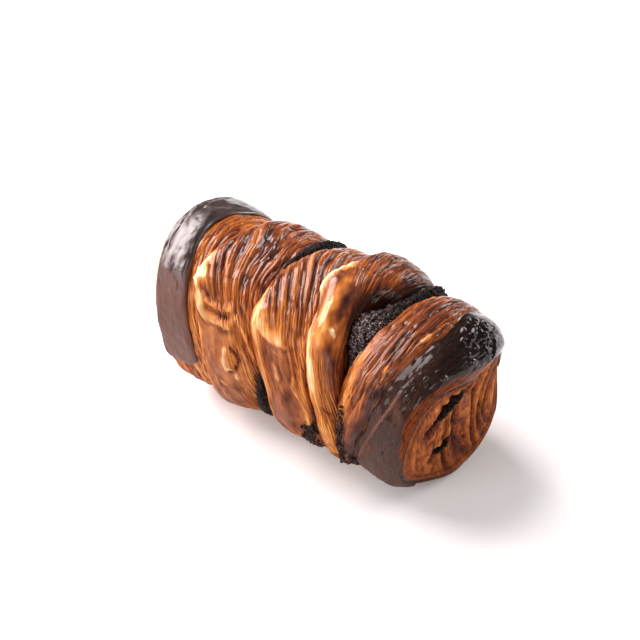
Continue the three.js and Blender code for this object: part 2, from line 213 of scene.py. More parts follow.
# %% Section, cap and face
def section_radius(half_width, top, turn):
    """From the axis to a superellipse section: |cos / half width|^power + |sin / top|^power, to the power
    -1 / power."""
    rise = np.sin(np.radians(turn))
    power = np.where(rise > 0, DOME_POWER, TIN_POWER)
    up = np.abs(rise) / np.where(rise > 0, top, BASE_REACH)
    return ((np.abs(np.cos(np.radians(turn))) / half_width) ** power + up**power) ** (-1 / power)


def cap_point(lobe, lean, turn, lift=0.0):
    """Where a point of a lobe's cap lies, as x and distance from the axis. From the crest it runs aside by
    sin(lean) times its reach and falls by (1 - cos(lean)) times its drop; lift moves it off the cap."""
    reach = np.where(lean < 0, lobe.left(turn), lobe.right(turn))
    drop = np.where(lean < 0, lobe.left_drop(turn), lobe.right_drop(turn))
    rim = section_radius(lobe.half_width, lobe.top, turn) * lobe.swell(turn)
    s, c = np.sin(np.radians(lean)), np.cos(np.radians(lean))
    steep = np.hypot(s / reach, c / drop)
    x = lobe.crest(turn) + reach * s + lift * s / reach / steep
    return x, rim - drop * (1 - c) + lift * c / drop / steep


def face_x(lobe, side, share, turn):
    """How far along the loaf a lobe's left (-1) or right (1) face lies, share of the way from its middle to
    its rim: from the middle's bulge to the rim's x by share to the power 2.5."""
    middle = np.mean([lobe.crest(quarter) for quarter in (0, 90, 180, 270)])
    bulge = -lobe.left(0) - lobe.faces[0] if side < 0 else lobe.right(0) + lobe.faces[1]
    rim = cap_point(lobe, 90.0 * side, turn)[0]
    return middle + bulge + (rim - middle - bulge) * share**2.5


def back_and_up(radius, turn):
    """How far behind the axis and how far above it a point lies, from its distance to it and its turn."""
    return -radius * np.cos(np.radians(turn)), radius * np.sin(np.radians(turn))


def place(x, radius, turn):
    """Points of the loaf, in mm, from x, distance from the axis and turn. The table cuts them flat."""
    back, up = back_and_up(radius, turn)
    points = np.stack(np.broadcast_arrays(x, back, AXIS_HEIGHT + up), -1) - MIDDLE
    points[..., 2] = np.maximum(points[..., 2], 0)
    return points


print("top of the third lobe:", place(*cap_point(LOBES["third"], 0.0, 90.0), 90.0).round(1), "mm")

# %% [markdown]
# ## Noise and strokes
#
# Dough is never even. Two helpers draw everything that isn't a plain curve. *Noise* is a lattice of seeded
# random heights, blended smoothly: long and narrow cells make strands, round ones make lumps. A *stroke* is a
# soft line from point to point over the skin, used for a fold, a crease or a patch of colour. A texture
# painted by hand would need a picture file; these need a few numbers.

# %% Noise and strokes
LATTICE = 512  # heights across, enough that the pattern never repeats on a lobe
ROUND = 35.0  # mm: a lobe's usual distance from the axis, to turn degrees into mm round the loaf
END_ROUND = 31.0  # mm: the same for the bands, on the narrower end lobes
FILLING_ROUND = 28.0  # mm: the same for the filling


def smooth_noise(across, turn, pitch, cells, seed):
    """Random values from -1 to 1 on a lattice, pitch mm apart across a lobe and with this many cells round
    the loaf, blended by 3t² - 2t³ in both directions. It closes on itself round the loaf."""
    lattice = np.random.default_rng(seed).uniform(-1, 1, (LATTICE, cells))
    a, b = np.broadcast_arrays(across / pitch + LATTICE / 2, np.mod(turn, 360) / 360 * cells)
    i, j = np.floor(a).astype(int), np.floor(b).astype(int)
    s, t = a - i, b - j
    s, t = 3 * s**2 - 2 * s**3, 3 * t**2 - 2 * t**3
    row, next_row = i % LATTICE, (i + 1) % LATTICE
    columns = (j % cells, (j + 1) % cells)
    near, far = (lattice[row, column] * (1 - s) + lattice[next_row, column] * s for column in columns)
    return near * (1 - t) + far * t


def clods(across, turn, pitch, seed):
    """Round hills with sharp valleys at three sizes, each about half as wide as the one before, and lower:
    the sum of 2 |noise| - 0.6 for each."""
    total = 0
    for k, (part, tall) in enumerate(((1.0, 1.0), (0.5, 0.75), (0.27, 0.5))):
        cells = int(2 * np.pi * FILLING_ROUND / (pitch * part))
        total = total + tall * (2 * np.abs(smooth_noise(across, turn, pitch * part, cells, seed + k)) - 0.6)
    return total


def fade(value, start, end):
    """0 up to start, 1 from end, and smooth between them: 3t² - 2t³."""
    t = np.clip((value - start) / (end - start), 0, 1)
    return 3 * t**2 - 2 * t**3


def from_turn(turn, middle):
    """The shorter way round from one turn to another, in degrees."""
    return np.mod(turn - middle + 180, 360) - 180


def stroke(skin, path, wide, cliff):
    """How near each point of a skin is to a line through (lean, turn) points: 1 on it and exp(-1) at wide
    mm from it on the path's left, or at cliff mm on its right. Distances are taken on the unrolled skin, mm
    across the lobe and mm round the loaf, after the skin's own wobble, so that no stroke has a ruled edge."""
    first_turn, rows = path[0][1], np.arange(len(skin.lean))

    def unrolled(lean, turn):
        """A point of the path, in mm across the lobe and mm round the loaf from its start."""
        row = np.interp(lean, skin.lean[:, 0], rows)
        column = np.argmin(np.abs(from_turn(skin.turn, turn)))
        return np.interp(row, rows, skin.across[:, column]), np.radians(from_turn(turn, first_turn)) * ROUND

    spots = [unrolled(lean, turn) for lean, turn in path]
    across = skin.across + skin.wobble[0]
    round_loaf = np.radians(from_turn(skin.turn, first_turn)) * ROUND + skin.wobble[1]
    nearest = np.full(skin.across.shape, np.inf)
    for (a, b), (a2, b2) in zip(spots, spots[1:]):
        step_a, step_b = a2 - a, b2 - b
        off_a, off_b = across - a, round_loaf - b
        share = np.clip((off_a * step_a + off_b * step_b) / np.hypot(step_a, step_b) ** 2, 0, 1)
        off_a, off_b = off_a - share * step_a, off_b - share * step_b
        width = np.where(step_a * off_b > step_b * off_a, wide, cliff)
        nearest = np.minimum(nearest, (off_a**2 + off_b**2) / width**2)
    return np.exp(-nearest)


print("noise at one spot:", smooth_noise(np.array([3.0]), np.array([40.0]), 2.0, 36, 1).round(3))

# %% [markdown]
# ## From a grid to a mesh
#
# Every piece is a grid of points that runs from one pole to the other and closes on itself. The helper
# welds the seam by counting round it, gives each pole one vertex with a fan of triangles, and turns the
# faces outwards by the sign of the volume. Values such as how brown the crust is ride along as
# attributes, which a material can read.

# %% Closed surfaces
def new_piece(name, points, faces, values):
    """A piece from points in mm, faces as lists of point numbers, and one value per point for each name."""
    mesh = bpy.data.meshes.new(name)
    mesh.from_pydata((points * 0.001).tolist(), [], faces)
    for key, value in values.items():
        attribute = mesh.attributes.new(key, "FLOAT", "POINT")
        attribute.data.foreach_set("value", np.ascontiguousarray(value, dtype=np.float32))
    mesh.shade_smooth()
    piece = bpy.data.objects.new(name, mesh)
    bpy.context.scene.collection.objects.link(piece)
    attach(piece, "root")
    return piece


def closed_surface(name, points, values):
    """A closed piece from a grid of points: the first and last rows shrink to their mean points, and the
    columns run once round. Its volume, a sixth of the sum of a . (b x c) over its triangles, is made
    positive."""
    rows, columns = points.shape[:2]

    def welded(grid):
        """A grid as one list, with one mean value for each pole."""
        inner = grid[1:-1].reshape(-1, *grid.shape[2:])
        return np.concatenate([grid[:1].mean(axis=1), inner, grid[-1:].mean(axis=1)])

    flat = welded(points)
    ring = 1 + np.arange((rows - 2) * columns).reshape(rows - 2, columns)
    beside = np.roll(ring, -1, axis=1)
    quads = np.stack([ring[:-1], beside[:-1], beside[1:], ring[1:]], -1).reshape(-1, 4)
    first = np.stack([np.zeros(columns, int), beside[0], ring[0]], -1)
    last = np.stack([np.full(columns, len(flat) - 1), ring[-1], beside[-1]], -1)
    triangles = np.concatenate([quads[:, :3], quads[:, [0, 2, 3]], first, last])
    a, b, c = flat[triangles].transpose(1, 0, 2)
    if np.einsum("ij,ij->", a, np.cross(b, c)) < 0:
        quads, first, last = quads[:, ::-1], first[:, ::-1], last[:, ::-1]
    faces = quads.tolist() + first.tolist() + last.tolist()
    kept = {key: welded(np.broadcast_to(value, (rows, columns))) for key, value in values.items()}
    print(f"{name}: {len(flat)} points, {len(triangles)} triangles")
    return new_piece(name, flat, faces, kept)

# %% [markdown]
# ## The skin of a lobe
#
# A lobe's grid runs from the middle of its left face over the cap to the middle of its right face. Rows
# are spread evenly over the cap's arc, because strands that are half a millimetre wide need close rows,
# while round the loaf the same strands are long and need few columns. Nobody looks under the loaf, so the
# columns are wider apart there.

# %% Grid over a lobe
SEEN, UNDERNEATH = (-50, 205, 370), (205, 310, 50)  # first turn, last turn, columns
TURNS = np.concatenate([np.linspace(*span, endpoint=False) for span in (SEEN, UNDERNEATH)])


def lobe_skin(lobe, left_rows, cap_rows, right_rows):
    """The lean, share and turn of each grid point, and its place across the lobe in mm. The cap's rows are
    even steps of its mean arc; a face's rows are even steps from its middle (share 0) to its rim (1)."""
    lean = np.linspace(-90, 90, 721)
    s, c = np.sin(np.radians(lean)), np.cos(np.radians(lean))
    reach = np.where(lean < 0, lobe.left(TURNS).mean(), lobe.right(TURNS).mean())
    drop = np.where(lean < 0, lobe.left_drop(TURNS).mean(), lobe.right_drop(TURNS).mean())
    arc = np.concatenate([[0], np.cumsum(np.hypot(np.diff(reach * s), np.diff(drop * c)))])
    even = np.interp(np.linspace(0, arc[-1], cap_rows), arc, lean)
    left_shares, right_shares = np.arange(left_rows) / left_rows, np.arange(right_rows)[::-1] / right_rows
    share = np.concatenate([left_shares, np.ones(cap_rows), right_shares])
    lean = np.concatenate([np.full(left_rows, -90.0), even, np.full(right_rows, 90.0)])
    skin = SimpleNamespace(lobe=lobe, lean=lean[:, None], share=share[:, None], turn=TURNS[None, :])
    x, radius = smooth_shape(skin)
    steps = np.hypot(np.diff(x, axis=0), np.diff(radius, axis=0))
    across = np.concatenate([np.zeros((1, len(TURNS))), np.cumsum(steps, axis=0)])
    skin.across = across - across[np.argmin(np.abs(lean))]
    skin.wobble = [
        0.5 * smooth_noise(skin.across, skin.turn, 2.6, 60, seed)
        + 0.25 * smooth_noise(skin.across, skin.turn, 1.1, 120, seed + 1)
        for seed in (501, 503)
    ]
    return skin


def smooth_shape(skin, relief=0.0):
    """x and distance from the axis over a whole lobe: its cap lifted by the relief, and its two faces."""
    lobe, lean, share, turn = skin.lobe, skin.lean, skin.share, skin.turn
    x, radius = cap_point(lobe, np.broadcast_to(lean, (len(lean), turn.size)), turn, relief)
    left = (lean == -90) & (share < 1)
    right = (lean == 90) & (share < 1)
    x = np.where(left, face_x(lobe, -1, share, turn), np.where(right, face_x(lobe, 1, share, turn), x))
    return x, np.where(left | right, share * cap_point(lobe, lean, turn)[1], radius)


ROWS = {  # rows over the left face, the cap and the right face
    "left_end": (60, 110, 6), "second": (6, 200, 6), "third": (6, 200, 6),
    "fourth": (6, 170, 6), "fifth": (6, 150, 6), "right_end": (6, 120, 110),
}
skins = {name: lobe_skin(LOBES[name], *rows) for name, rows in ROWS.items()}
for name, skin in skins.items():
    print(name, "grid", skin.across.shape, "arc", round(float(np.ptp(skin.across[:, 90])), 1), "mm")

# %% [markdown]
# ## What the oven and the twist did to each lobe
#
# Each lobe has its own character in the photograph: where its strands lean, where the layers stand up as
# ruffles, where the smooth brown skin shows that lay against the tin, and where a fold, a blister or a pale
# edge lies. They are written down as short tables, one line a mark, so that a mark can be moved by changing
# one number. A mark is a stroke: its points, its half width, how far it rises, how much darker it is (browning
# on some marks, painted shade in creases, pits and under lips on others) and how much of it is smooth skin,
# which on three marks is a greyer painted sheen.

# %% Marks on the lobes
def mark(path, wide, rise=0.0, brown=0.0, skin=0.0, paste=0.0, cliff=None):
    """A stroke with what it does: it rises by so many mm, is darker (baked darker on some marks, painted shade
    in a crease, pit or groove on others), is so much of it smooth skin (on a few marks a greyer painted sheen)
    or has crumbly paste on it. A mark with a cliff is steep on the path's right, as the edge of a flap is."""
    steep = cliff or wide
    return SimpleNamespace(path=path, wide=wide, rise=rise, brown=brown, skin=skin, paste=paste, cliff=steep)


def character(**own):
    """How one lobe baked. Most lobes have no ruffles, and strands that drift alike from edge to edge."""
    return SimpleNamespace(**{"steady": 0, "ruffles": None, "ruffled": None, "marks": [], **own})


# browning: 0 is cream and 1 nearly black. gloss: how much glaze. drift: mm that strands have moved aside at
# each turn, and steady: how much less of it there is on the right of the lobe. ruffles: places of the ridges
# in mm across at a turn of 75. ruffled: middle lean and reach, middle turn and reach.
CHARACTER = {
    "left_end": character(
        browning=around((-90, 0.54), (0, 0.5), (50, 0.44), (90, 0.53), (180, 0.55)),
        gloss=around((-90, 0.2), (0, 0.3), (50, 0.6), (90, 0.6), (180, 0.4)),
        drift=around((-90, -4), (0, -3), (50, 0), (90, 3), (120, 1), (180, -2)),
        marks=[
            mark([(-62, 70), (-58, 40), (-58, 0)], 4.0, brown=-0.35),
            mark([(36, -4), (44, 20), (58, 40)], 1.4, rise=0.3, brown=-0.15),
            mark([(30, -14), (40, -20), (50, -24)], 2.5, rise=0.4, brown=-0.2),
            mark([(36, 95), (48, 80)], 4.0, brown=0.12),
        ],
    ),
    "second": character(
        browning=around(
            (-90, 0.5), (-30, 0.49), (0, 0.47), (30, 0.48), (60, 0.6), (90, 0.63), (130, 0.62), (200, 0.55),
        ),
        gloss=around((-90, 0.2), (0, 0.15), (32, 0.25), (55, 0.8), (90, 0.8), (150, 0.6), (220, 0.3)),
        drift=around((-90, -30), (-30, -34), (0, -25), (45, -10), (75, 0), (110, 10), (160, 13), (225, 0)),
        steady=0.6, ruffles=[-14, -10, -7, -3.4, 0, 5.1, 11.2, 15.5, 20, 25], ruffled=((-4, 62), (82, 46)),
        marks=[
            mark([(-58, 66), (-52, 59), (-36, 54)], 3.8, rise=0.5, brown=-0.7, skin=0.4),
            mark([(-66, 48), (-54, 42), (-50, 34)], 1.8, brown=0.3),
            mark([(-56, 57), (-38, 56), (-24, 60)], 1.3, rise=0.7, brown=-0.12, cliff=0.5),
            mark([(-54, 50), (-36, 50), (-20, 52)], 1.1, rise=0.6, brown=-0.1, cliff=0.45),
            # A crease above the flap, painted darker: painted shade.
            mark([(-34, 52), (-20, 47), (-2, 45)], 1.0, rise=-0.3, brown=0.2),
            mark([(-50, 44), (-46, 28), (-46, 5), (-48, -20)], 2.2, brown=-0.2),
            mark([(6, 25), (12, 8), (20, -12), (14, -30)], 7.5, rise=-0.2, brown=0.06, skin=1.2),
            mark([(-24, 42), (-12, 38.5), (6, 37)], 2.2, brown=-0.2, skin=0.4),
            mark(
                [(-36, 47), (-15, 42.5), (5, 40.5), (15, 40.5), (25, 43)],
                1.5, rise=0.9, brown=-0.22, cliff=0.5,
            ),
            # A pit under the flap, painted darker: painted shade.
            mark([(0, 38), (12, 37), (20, 37)], 0.9, rise=-0.8, brown=0.3),
            # Two creases below the nose, painted darker: painted shade.
            mark([(-64, 49), (-52, 45), (-42, 43)], 1.2, rise=-0.4, brown=0.3),
            mark([(-60, 40), (-44, 37), (-30, 35)], 1.0, rise=-0.4, brown=0.22),
            mark([(-20, 37), (-6, 33), (9, 32), (22, 32.5), (27, 37)], 1.7, rise=1.1, brown=-0.26, cliff=0.5),
            # Painted shadow beneath the lower lip.
            mark([(-28, 35.5), (-8, 30.5), (9, 29.5), (23, 30)], 0.8, rise=-0.3, brown=0.16),
            mark([(27, 17), (28, 9)], 2.2, rise=0.9, brown=-0.12, skin=-0.5),
            mark([(21, 19), (20, 12), (24, 5)], 0.8, rise=0.4, brown=-0.4),
            # A dark crescent round the blister's right side: painted shade.
            mark([(26, 21), (33, 18.5), (37, 14), (34, 8), (27, 3.5)], 0.6, rise=-0.6, brown=0.4),
            mark([(26, 6), (29, 5)], 0.7, rise=0.2, brown=-0.3),
            mark([(33, 2), (34, -1)], 0.7, rise=0.5, brown=-0.4),
            mark([(14, -7), (17, -9)], 0.7, rise=0.5, brown=-0.4),
            mark([(24, 45), (38, 34), (58, 20)], 1.1, rise=0.6, brown=-0.22),
            mark([(32, 42), (48, 29), (64, 14)], 0.9, rise=0.5, brown=-0.18),
            # A groove between the two orange ridges, painted darker: painted shade.
            mark([(28, 44), (46, 32), (62, 17)], 0.7, rise=-0.4, brown=0.2),
            mark([(18, 33), (42, 20), (56, 2), (58, -20)], 1.3, rise=0.4, brown=-0.16),
            # A greyer, darker patch of skin colour: painted sheen.
            mark([(27, 64), (30, 60)], 2.2, brown=0.16, skin=0.6),
        ],
    ),
    "third": character(
        browning=around(
            (-90, 0.56), (-30, 0.57), (0, 0.54), (40, 0.54), (60, 0.6), (90, 0.62), (130, 0.62),
            (200, 0.55),
        ),
        gloss=around((-90, 0.2), (0, 0.15), (34, 0.25), (52, 0.8), (90, 0.8), (150, 0.6), (220, 0.3)),
        drift=around(
            (-90, -14), (-20, -15), (20, -15), (50, -11), (75, 0), (100, 10.5), (150, 18), (225, 4),
        ),
        steady=0.3, ruffles=[-15, -11, -7.6, -3.6, 1.2, 6.8, 10.4, 14, 18, 23], ruffled=((4, 60), (82, 42)),
        marks=[
            mark(
                [(-46, 64), (-34, 52), (-24, 42), (-17, 33), (-16, 18), (-22, 4), (-28, -12)],
                1.8, rise=0.3, brown=-0.36, skin=0.4,
            ),
            mark([(-20, 50), (-6, 45), (6, 42), (18, 41)], 2.8, rise=0.3, brown=-0.26, skin=0.5),
            mark([(-13, 45), (0, 40), (10, 38.5), (24, 38.5)], 1.7, rise=0.8, brown=-0.16, cliff=0.55),
            # Painted shadow below the fold's lower edge.
            mark([(-9, 41), (4, 36.5), (14, 36), (24, 36.5)], 0.8, rise=-0.3, brown=0.14),
            mark([(12, 30), (16, 20), (17, 6), (8, -10)], 5.5, rise=-0.2, brown=0.06, skin=1.2),
            mark([(11, 27), (11, 22)], 1.3, rise=0.7, brown=-0.45, skin=-0.3),
            mark([(13, 20), (15, 14)], 0.8, rise=0.3, brown=-0.2),
            # A dark rim round the blister: painted shade.
            mark([(14, 28), (15.5, 23), (13, 19)], 0.5, rise=-0.4, brown=0.3),
            mark([(30, 25), (27, 19), (31, 14)], 1.0, rise=0.6, brown=-0.3, cliff=0.4),
            mark([(46, 46), (43, 32), (39, 20), (36, 8), (34, -10)], 1.7, rise=0.7, brown=-0.26),
            # A groove right of the long ridge, painted darker: painted shade.
            mark([(58, 44), (54, 26), (49, 8), (46, -10)], 1.2, rise=-0.4, brown=0.3),
            # A darker, greyer patch: the grey is painted sheen.
            mark([(-30, 74), (-14, 63), (0, 55)], 3.2, brown=0.14, skin=0.3),
            mark([(44, -5), (34, -12), (28, -20), (30, -34)], 2.4, paste=0.85),
        ],
    ),
    "fourth": character(
        browning=around(
            (-90, 0.54), (-30, 0.52), (0, 0.43), (30, 0.4), (60, 0.46), (90, 0.72), (125, 0.76), (200, 0.6),
        ),
        gloss=around(
            (-90, 0.2), (0, 0.2), (30, 0.3), (44, 0.35), (55, 1.0), (84, 1.0), (96, 0.6), (140, 0.5),
            (220, 0.3),
        ),
        drift=around((-90, -8), (0, -5), (40, 0), (72, 1), (105, 8), (130, 10), (160, 8), (225, -4)),
        steady=0.7,
        marks=[
            mark([(-60, 76), (-56, 85), (-46, 94), (-32, 102)], 2.4, rise=0.7, brown=-0.68, skin=0.2),
            # A crease below the curl, painted darker: painted shade.
            mark([(-70, 72), (-52, 66), (-34, 62)], 1.6, rise=-0.3, brown=0.16),
            mark([(-56, 79), (-44, 90), (-28, 101)], 1.3, rise=0.8, brown=-0.2, cliff=0.45),
            mark([(-44, 80), (-30, 91), (-16, 99)], 1.2, rise=0.7, brown=-0.3, cliff=0.4),
            mark([(-14, 84), (-4, 74), (2, 62), (8, 52)], 5.0, rise=0.3, brown=-0.17, skin=1.1),
            # A crease left of the bulge, painted darker: painted shade.
            mark([(-44, 74), (-34, 64), (-30, 54)], 1.2, rise=-0.4, brown=0.22),
            mark([(-6, 70), (2, 62), (4, 56)], 1.0, rise=0.3, brown=-0.1),
            # A crease right of the bulge, painted darker: painted shade.
            mark([(12, 84), (18, 74), (20, 64)], 1.3, rise=-0.25, brown=0.1),
            mark([(24, 86), (36, 74), (40, 60)], 3.6, brown=0.08, skin=0.9),
            mark([(4, 66), (10, 61)], 1.2, rise=-0.15, brown=0.24),
            mark([(20, 76), (26, 66)], 1.6, rise=-0.2, brown=0.24),
            mark([(10, 54), (22, 50)], 1.3, brown=0.2),
            mark([(16, 57.5), (28, 57)], 0.9, rise=0.7, brown=-0.35, cliff=0.4),
            mark([(26, 50), (40, 42), (40, 32)], 3.4, brown=0.26, skin=0.8),
            mark([(-48, 52), (-38, 46), (-26, 38), (-14, 28)], 2.8, rise=0.3, brown=-0.42),
            # Darker along the left edge, where the left softbox lights it: painted shade.
            mark([(-50, 22), (-44, 6), (-40, -14), (-38, -32)], 3.0, brown=0.26),
            mark([(4, 4), (16, -2), (20, -14)], 3.4, rise=1.0, brown=-0.12),
            mark([(-56, -6), (-50, -16), (-46, -34)], 2.0, paste=0.9),
            # A crease above the foot, painted darker: painted shade.
            mark([(8, 16), (26, 14)], 0.7, rise=-0.5, brown=0.25),
            # Darker at the right edge, where the lobe meets the filling's crease: painted shade.
            mark([(50, 100), (52, 84), (56, 70)], 2.0, brown=0.2),
        ],
    ),
    "fifth": character(
        browning=around((-90, 0.55), (-30, 0.6), (0, 0.68), (40, 0.68), (80, 0.72), (130, 0.7), (200, 0.6)),
        gloss=around((-90, 0.2), (0, 0.3), (50, 0.6), (90, 0.7), (200, 0.4)),
        drift=around((-90, -2), (0, -2), (60, 0), (90, 2), (180, 2)),
        marks=[
            mark([(-52, 58), (-42, 46), (-32, 34), (-24, 18)], 2.8, rise=0.2, brown=-0.26),
            mark([(28, 86), (34, 80)], 0.9, rise=0.7, brown=-0.5, cliff=0.6),
            mark([(18, 55), (27, 50), (24, 44)], 1.4, rise=0.9, brown=-0.35, skin=-0.5, cliff=0.7),
            # A hollow beside the fold, painted darker: painted shade.
            mark([(29, 53), (31, 46)], 0.7, rise=-0.5, brown=0.25),
            # Greyer skin colour along the band's edge: painted sheen.
            mark([(40, 88), (44, 74), (50, 60)], 1.6, brown=-0.04, skin=0.6),
            mark([(36, 42), (32, 28), (24, 6), (28, -14)], 2.6, rise=-0.2, brown=0.3, skin=0.9),
            mark([(14, 34), (12, 18), (14, 0)], 1.8, rise=0.3, brown=-0.3),
            mark([(-22, 16), (-10, 2), (-2, -12), (8, -26)], 1.9, paste=0.85),
            mark([(30, -14), (48, -24), (56, -34)], 2.0, paste=0.8),
        ],
    ),
    "right_end": character(
        browning=around((-90, 0.6), (0, 0.62), (60, 0.6), (120, 0.62), (200, 0.58)), gloss=always(0.4),
        drift=around((-90, 0), (0, 0), (90, 2), (180, 2)),
    ),
}
print(sum(len(c.marks) for c in CHARACTER.values()), "marks")

# %% [markdown]
# ## Relief: strands, ruffles and marks
#
# The layers make three sizes of relief. Ruffles, 3 to 5 mm apart, are where whole stacks of layers folded.
# Strands, about 1 mm apart, are single stacks that show at a cut. Finer lines than that are left to the
# material, because a photograph of this size can't show their shape. The same numbers drive the colour:
# ridges are paler and grooves darker, partly the crust's own tone and partly painted shade in the grooves.

# %% Relief and browning of a lobe
def ridge(phase):
    """One ridge for each whole step of the phase, which rises slowly and falls fast: sin(pi f^1.5)."""
    return np.sin(np.pi * (phase - np.floor(phase)) ** 1.5)


def valley(value, wide):
    """Sharp valleys between flat tops: 1 where the noise crosses 0, and 0 where it is over wide."""
    return 1 - np.minimum(np.abs(value) / wide, 1) ** 0.7


def window(value, middle, reach):
    """1 in the middle and 0 at a distance of reach or more: (1 - d²)²."""
    return (1 - np.minimum(np.abs((value - middle) / reach), 1) ** 2) ** 2


def layer_place(skin, character):
    """Where each point lies among the layers, in mm: its place across the lobe plus the strands' drift."""
    steady = 1 - character.steady * fade(skin.across, -6, 20)
    return skin.across + character.drift(skin.turn) * steady


def lobe_relief(skin, character, seed):
    """The height in mm, browning (painted shade included), smooth skin, gloss and paste at each point of a
    lobe: noise in layers, ruffles and the marks, each mark added as a stroke."""
    layer = layer_place(skin, character)
    lean = np.broadcast_to(skin.lean, skin.across.shape)

    def noise_at(across, pitch, cells, step):
        """Noise at a place across the lobe, with a seed so many steps on."""
        return smooth_noise(across, skin.turn, pitch, cells, seed + step)

    height = 0.35 * noise_at(skin.across, 9.0, 24, 0)
    brown = character.browning(skin.turn) + 0.07 * noise_at(layer, 5.0, 14, 1)
    # Darker towards the right edge, where the lobe runs under the next one, and at the very left edge, in the
    # crease: painted shade. The left half is a little paler.
    brown = brown + 0.26 * fade(lean, 40, 80) - 0.1 * fade(-lean, 10, 50) + 0.2 * fade(-lean, 66, 84)
    smooth, paste = np.zeros_like(brown), np.zeros_like(brown)
    for one in character.marks:
        near = stroke(skin, one.path, one.wide, one.cliff)
        height += one.rise * near
        brown += one.brown * near
        smooth += one.skin * near
        paste += one.paste * near
    smooth = np.clip(smooth, 0, 1)
    ragged = noise_at(skin.across, 1.0, 110, 12) + noise_at(skin.across, 2.6, 50, 14)
    paste = fade(paste + 0.45 * ragged * np.sqrt(np.clip(paste, 0, 1)), 0.35, 0.65)

    # Smooth skin is blotched instead of stranded.
    blotch, mottle = noise_at(skin.across, 3.4, 34, 7), noise_at(skin.across, 1.3, 100, 15)
    brown += smooth * (0.2 * blotch + 0.1 * mottle)
    height += smooth * (0.14 * blotch + 0.1 * mottle)

    # Strands at two sizes; their grooves are darker, partly the crust's tone and partly painted shade.
    warped = layer + 0.35 * noise_at(skin.across, 5.0, 16, 2)
    coarse, fine = noise_at(warped, 1.15, 20, 3), noise_at(warped, 0.6, 40, 4)
    tone = noise_at(warped, 1.6, 12, 8)
    bare = 1 - 0.85 * smooth
    height -= (0.75 * valley(coarse, 0.9) + 0.42 * valley(fine, 0.9)) * bare
    brown += (0.22 * valley(coarse, 0.3) + 0.18 * valley(fine, 0.35) - 0.12 * tone - 0.08) * bare
    brown += 0.05 * noise_at(skin.across, 1.3, 110, 9)

    if character.ruffles:
        (lean_mid, lean_reach), (turn_mid, turn_reach) = character.ruffled
        share = window(lean, lean_mid, lean_reach) * window(from_turn(skin.turn, turn_mid), 0, turn_reach)
        count = np.arange(len(character.ruffles))
        phase = np.interp(layer + 0.5 * noise_at(layer, 6.0, 20, 5), character.ruffles, count) + 0.35
        tall = 0.75 + 0.5 * noise_at(layer, 4.0, 16, 6)
        height += 1.9 * share * tall * ridge(phase)
        # Ruffle ridges are paler and their valleys darker: partly the crust's tone, partly painted shade.
        brown += share * (0.2 - 0.46 * ridge(phase) * tall)

    height += paste * (0.3 + 0.6 * clods(skin.across, skin.turn, 1.7, seed + 13) - 0.5 * height)
    edge = np.maximum(np.cos(np.radians(lean)), 0) ** 0.3
    gloss = character.gloss(skin.turn) + 0.25 * noise_at(skin.across, 2.5, 40, 10)
    gloss = np.clip(gloss * (1 - paste), 0, 1)
    return SimpleNamespace(
        height=height * edge, brown=brown, smooth=smooth, gloss=gloss, paste=paste, layer=layer
    )


reliefs = {name: lobe_relief(skins[name], CHARACTER[name], 10 * k + 1) for k, name in enumerate(skins)}
for name, relief in reliefs.items():
    print(name, "relief", relief.height.min().round(2), "to", relief.height.max().round(2), "mm")

# %% [markdown]
# ## Lumps that the solids have too
#
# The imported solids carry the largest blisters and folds. The same lumps are added here, so that the
# visible skin stays on the solid.

# %% Large lumps
# Height in mm, lean, turn, half width across and half length round the loaf in mm.
LUMPS = {
    "second": [(2.4, -48, 47, 4, 7), (1.8, -22, 33, 4, 4), (1.4, 14, 8, 3.5, 4.5)],
    "third": [(1.6, -42, 34, 4, 8), (1.3, 12, 2, 4, 9)],
    "fourth": [(2.4, -36, 86, 5, 7), (1.6, -14, 58, 4, 15), (1.8, 10, -30, 5, 8)],
    "fifth": [(1.0, 30, 10, 3, 4)],
}


def lump(skin, height, lean, turn, wide, long):
    """A rounded lump: its height times exp(-(aside/wide)² - (along/long)²), in mm."""
    lobe = skin.lobe
    reach = np.where(skin.lean < 0, lobe.left(skin.turn), lobe.right(skin.turn))
    own = lobe.left(skin.turn) if lean < 0 else lobe.right(skin.turn)
    aside = (reach * np.sin(np.radians(skin.lean)) - own * np.sin(np.radians(lean))) / wide
    along = np.radians(from_turn(skin.turn, turn)) * lobe.top / long
    return height * np.exp(-(aside**2) - along**2)


for name, lumps in LUMPS.items():
    edge = np.maximum(np.cos(np.radians(skins[name].lean)), 0) ** 0.25
    for one in lumps:
        reliefs[name].height += lump(skins[name], *one) * edge
print(sum(len(lumps) for lumps in LUMPS.values()), "lumps")

# %% [markdown]
# ## The end faces
#
# Where the twist was cut or tucked in, the layers show as rolls of dough that fan out downwards, with dark
# creases between them. Their pattern is worked out on the face itself: for each point, how far along the fan
# it lies and how far down a roll. Two lines of the fan, its tops and its feet, fix it.

# %% Fans of folded layers
# Places on a face are mm behind the axis and mm above it. tops, feet: the ends of the fan's two lines. bow:
# mm that a roll or a slit bows aside. sunk, deep: how far below the face a slit's filling has its middle, and
# half how deep it is.
FANS = {
    "left_end": SimpleNamespace(
        side=-1, count=6, tops=((-20, 19), (21, 16)), feet=((-18, -25), (17, -24)), bow=-2.0,
    ),
    "right_end": SimpleNamespace(
        side=1, count=7, tops=((-25, 17), (25, 5)), feet=((-17, -27), (19, -24)), bow=2.0,
    ),
}
SLITS = {
    "filling_face_upper": SimpleNamespace(
        start=(5, 10), end=(-17, 5), wide=1.6, deep=8.6, sunk=6.0, bow=-2.0,
    ),
    "filling_face_lower": SimpleNamespace(
        start=(-2, -10), end=(-13, -13), wide=1.0, deep=7.6, sunk=6.0, bow=0.0,
    ),
}
ROLL_WIDTH = 6.5  # mm from one roll to the next
# Dough beside a slit is painted nearly black: painted shade in the slit.
SLIT_SINK, SLIT_SHADE = 1.5, 0.95  # mm that the dough beside a slit sinks, and how dark it is


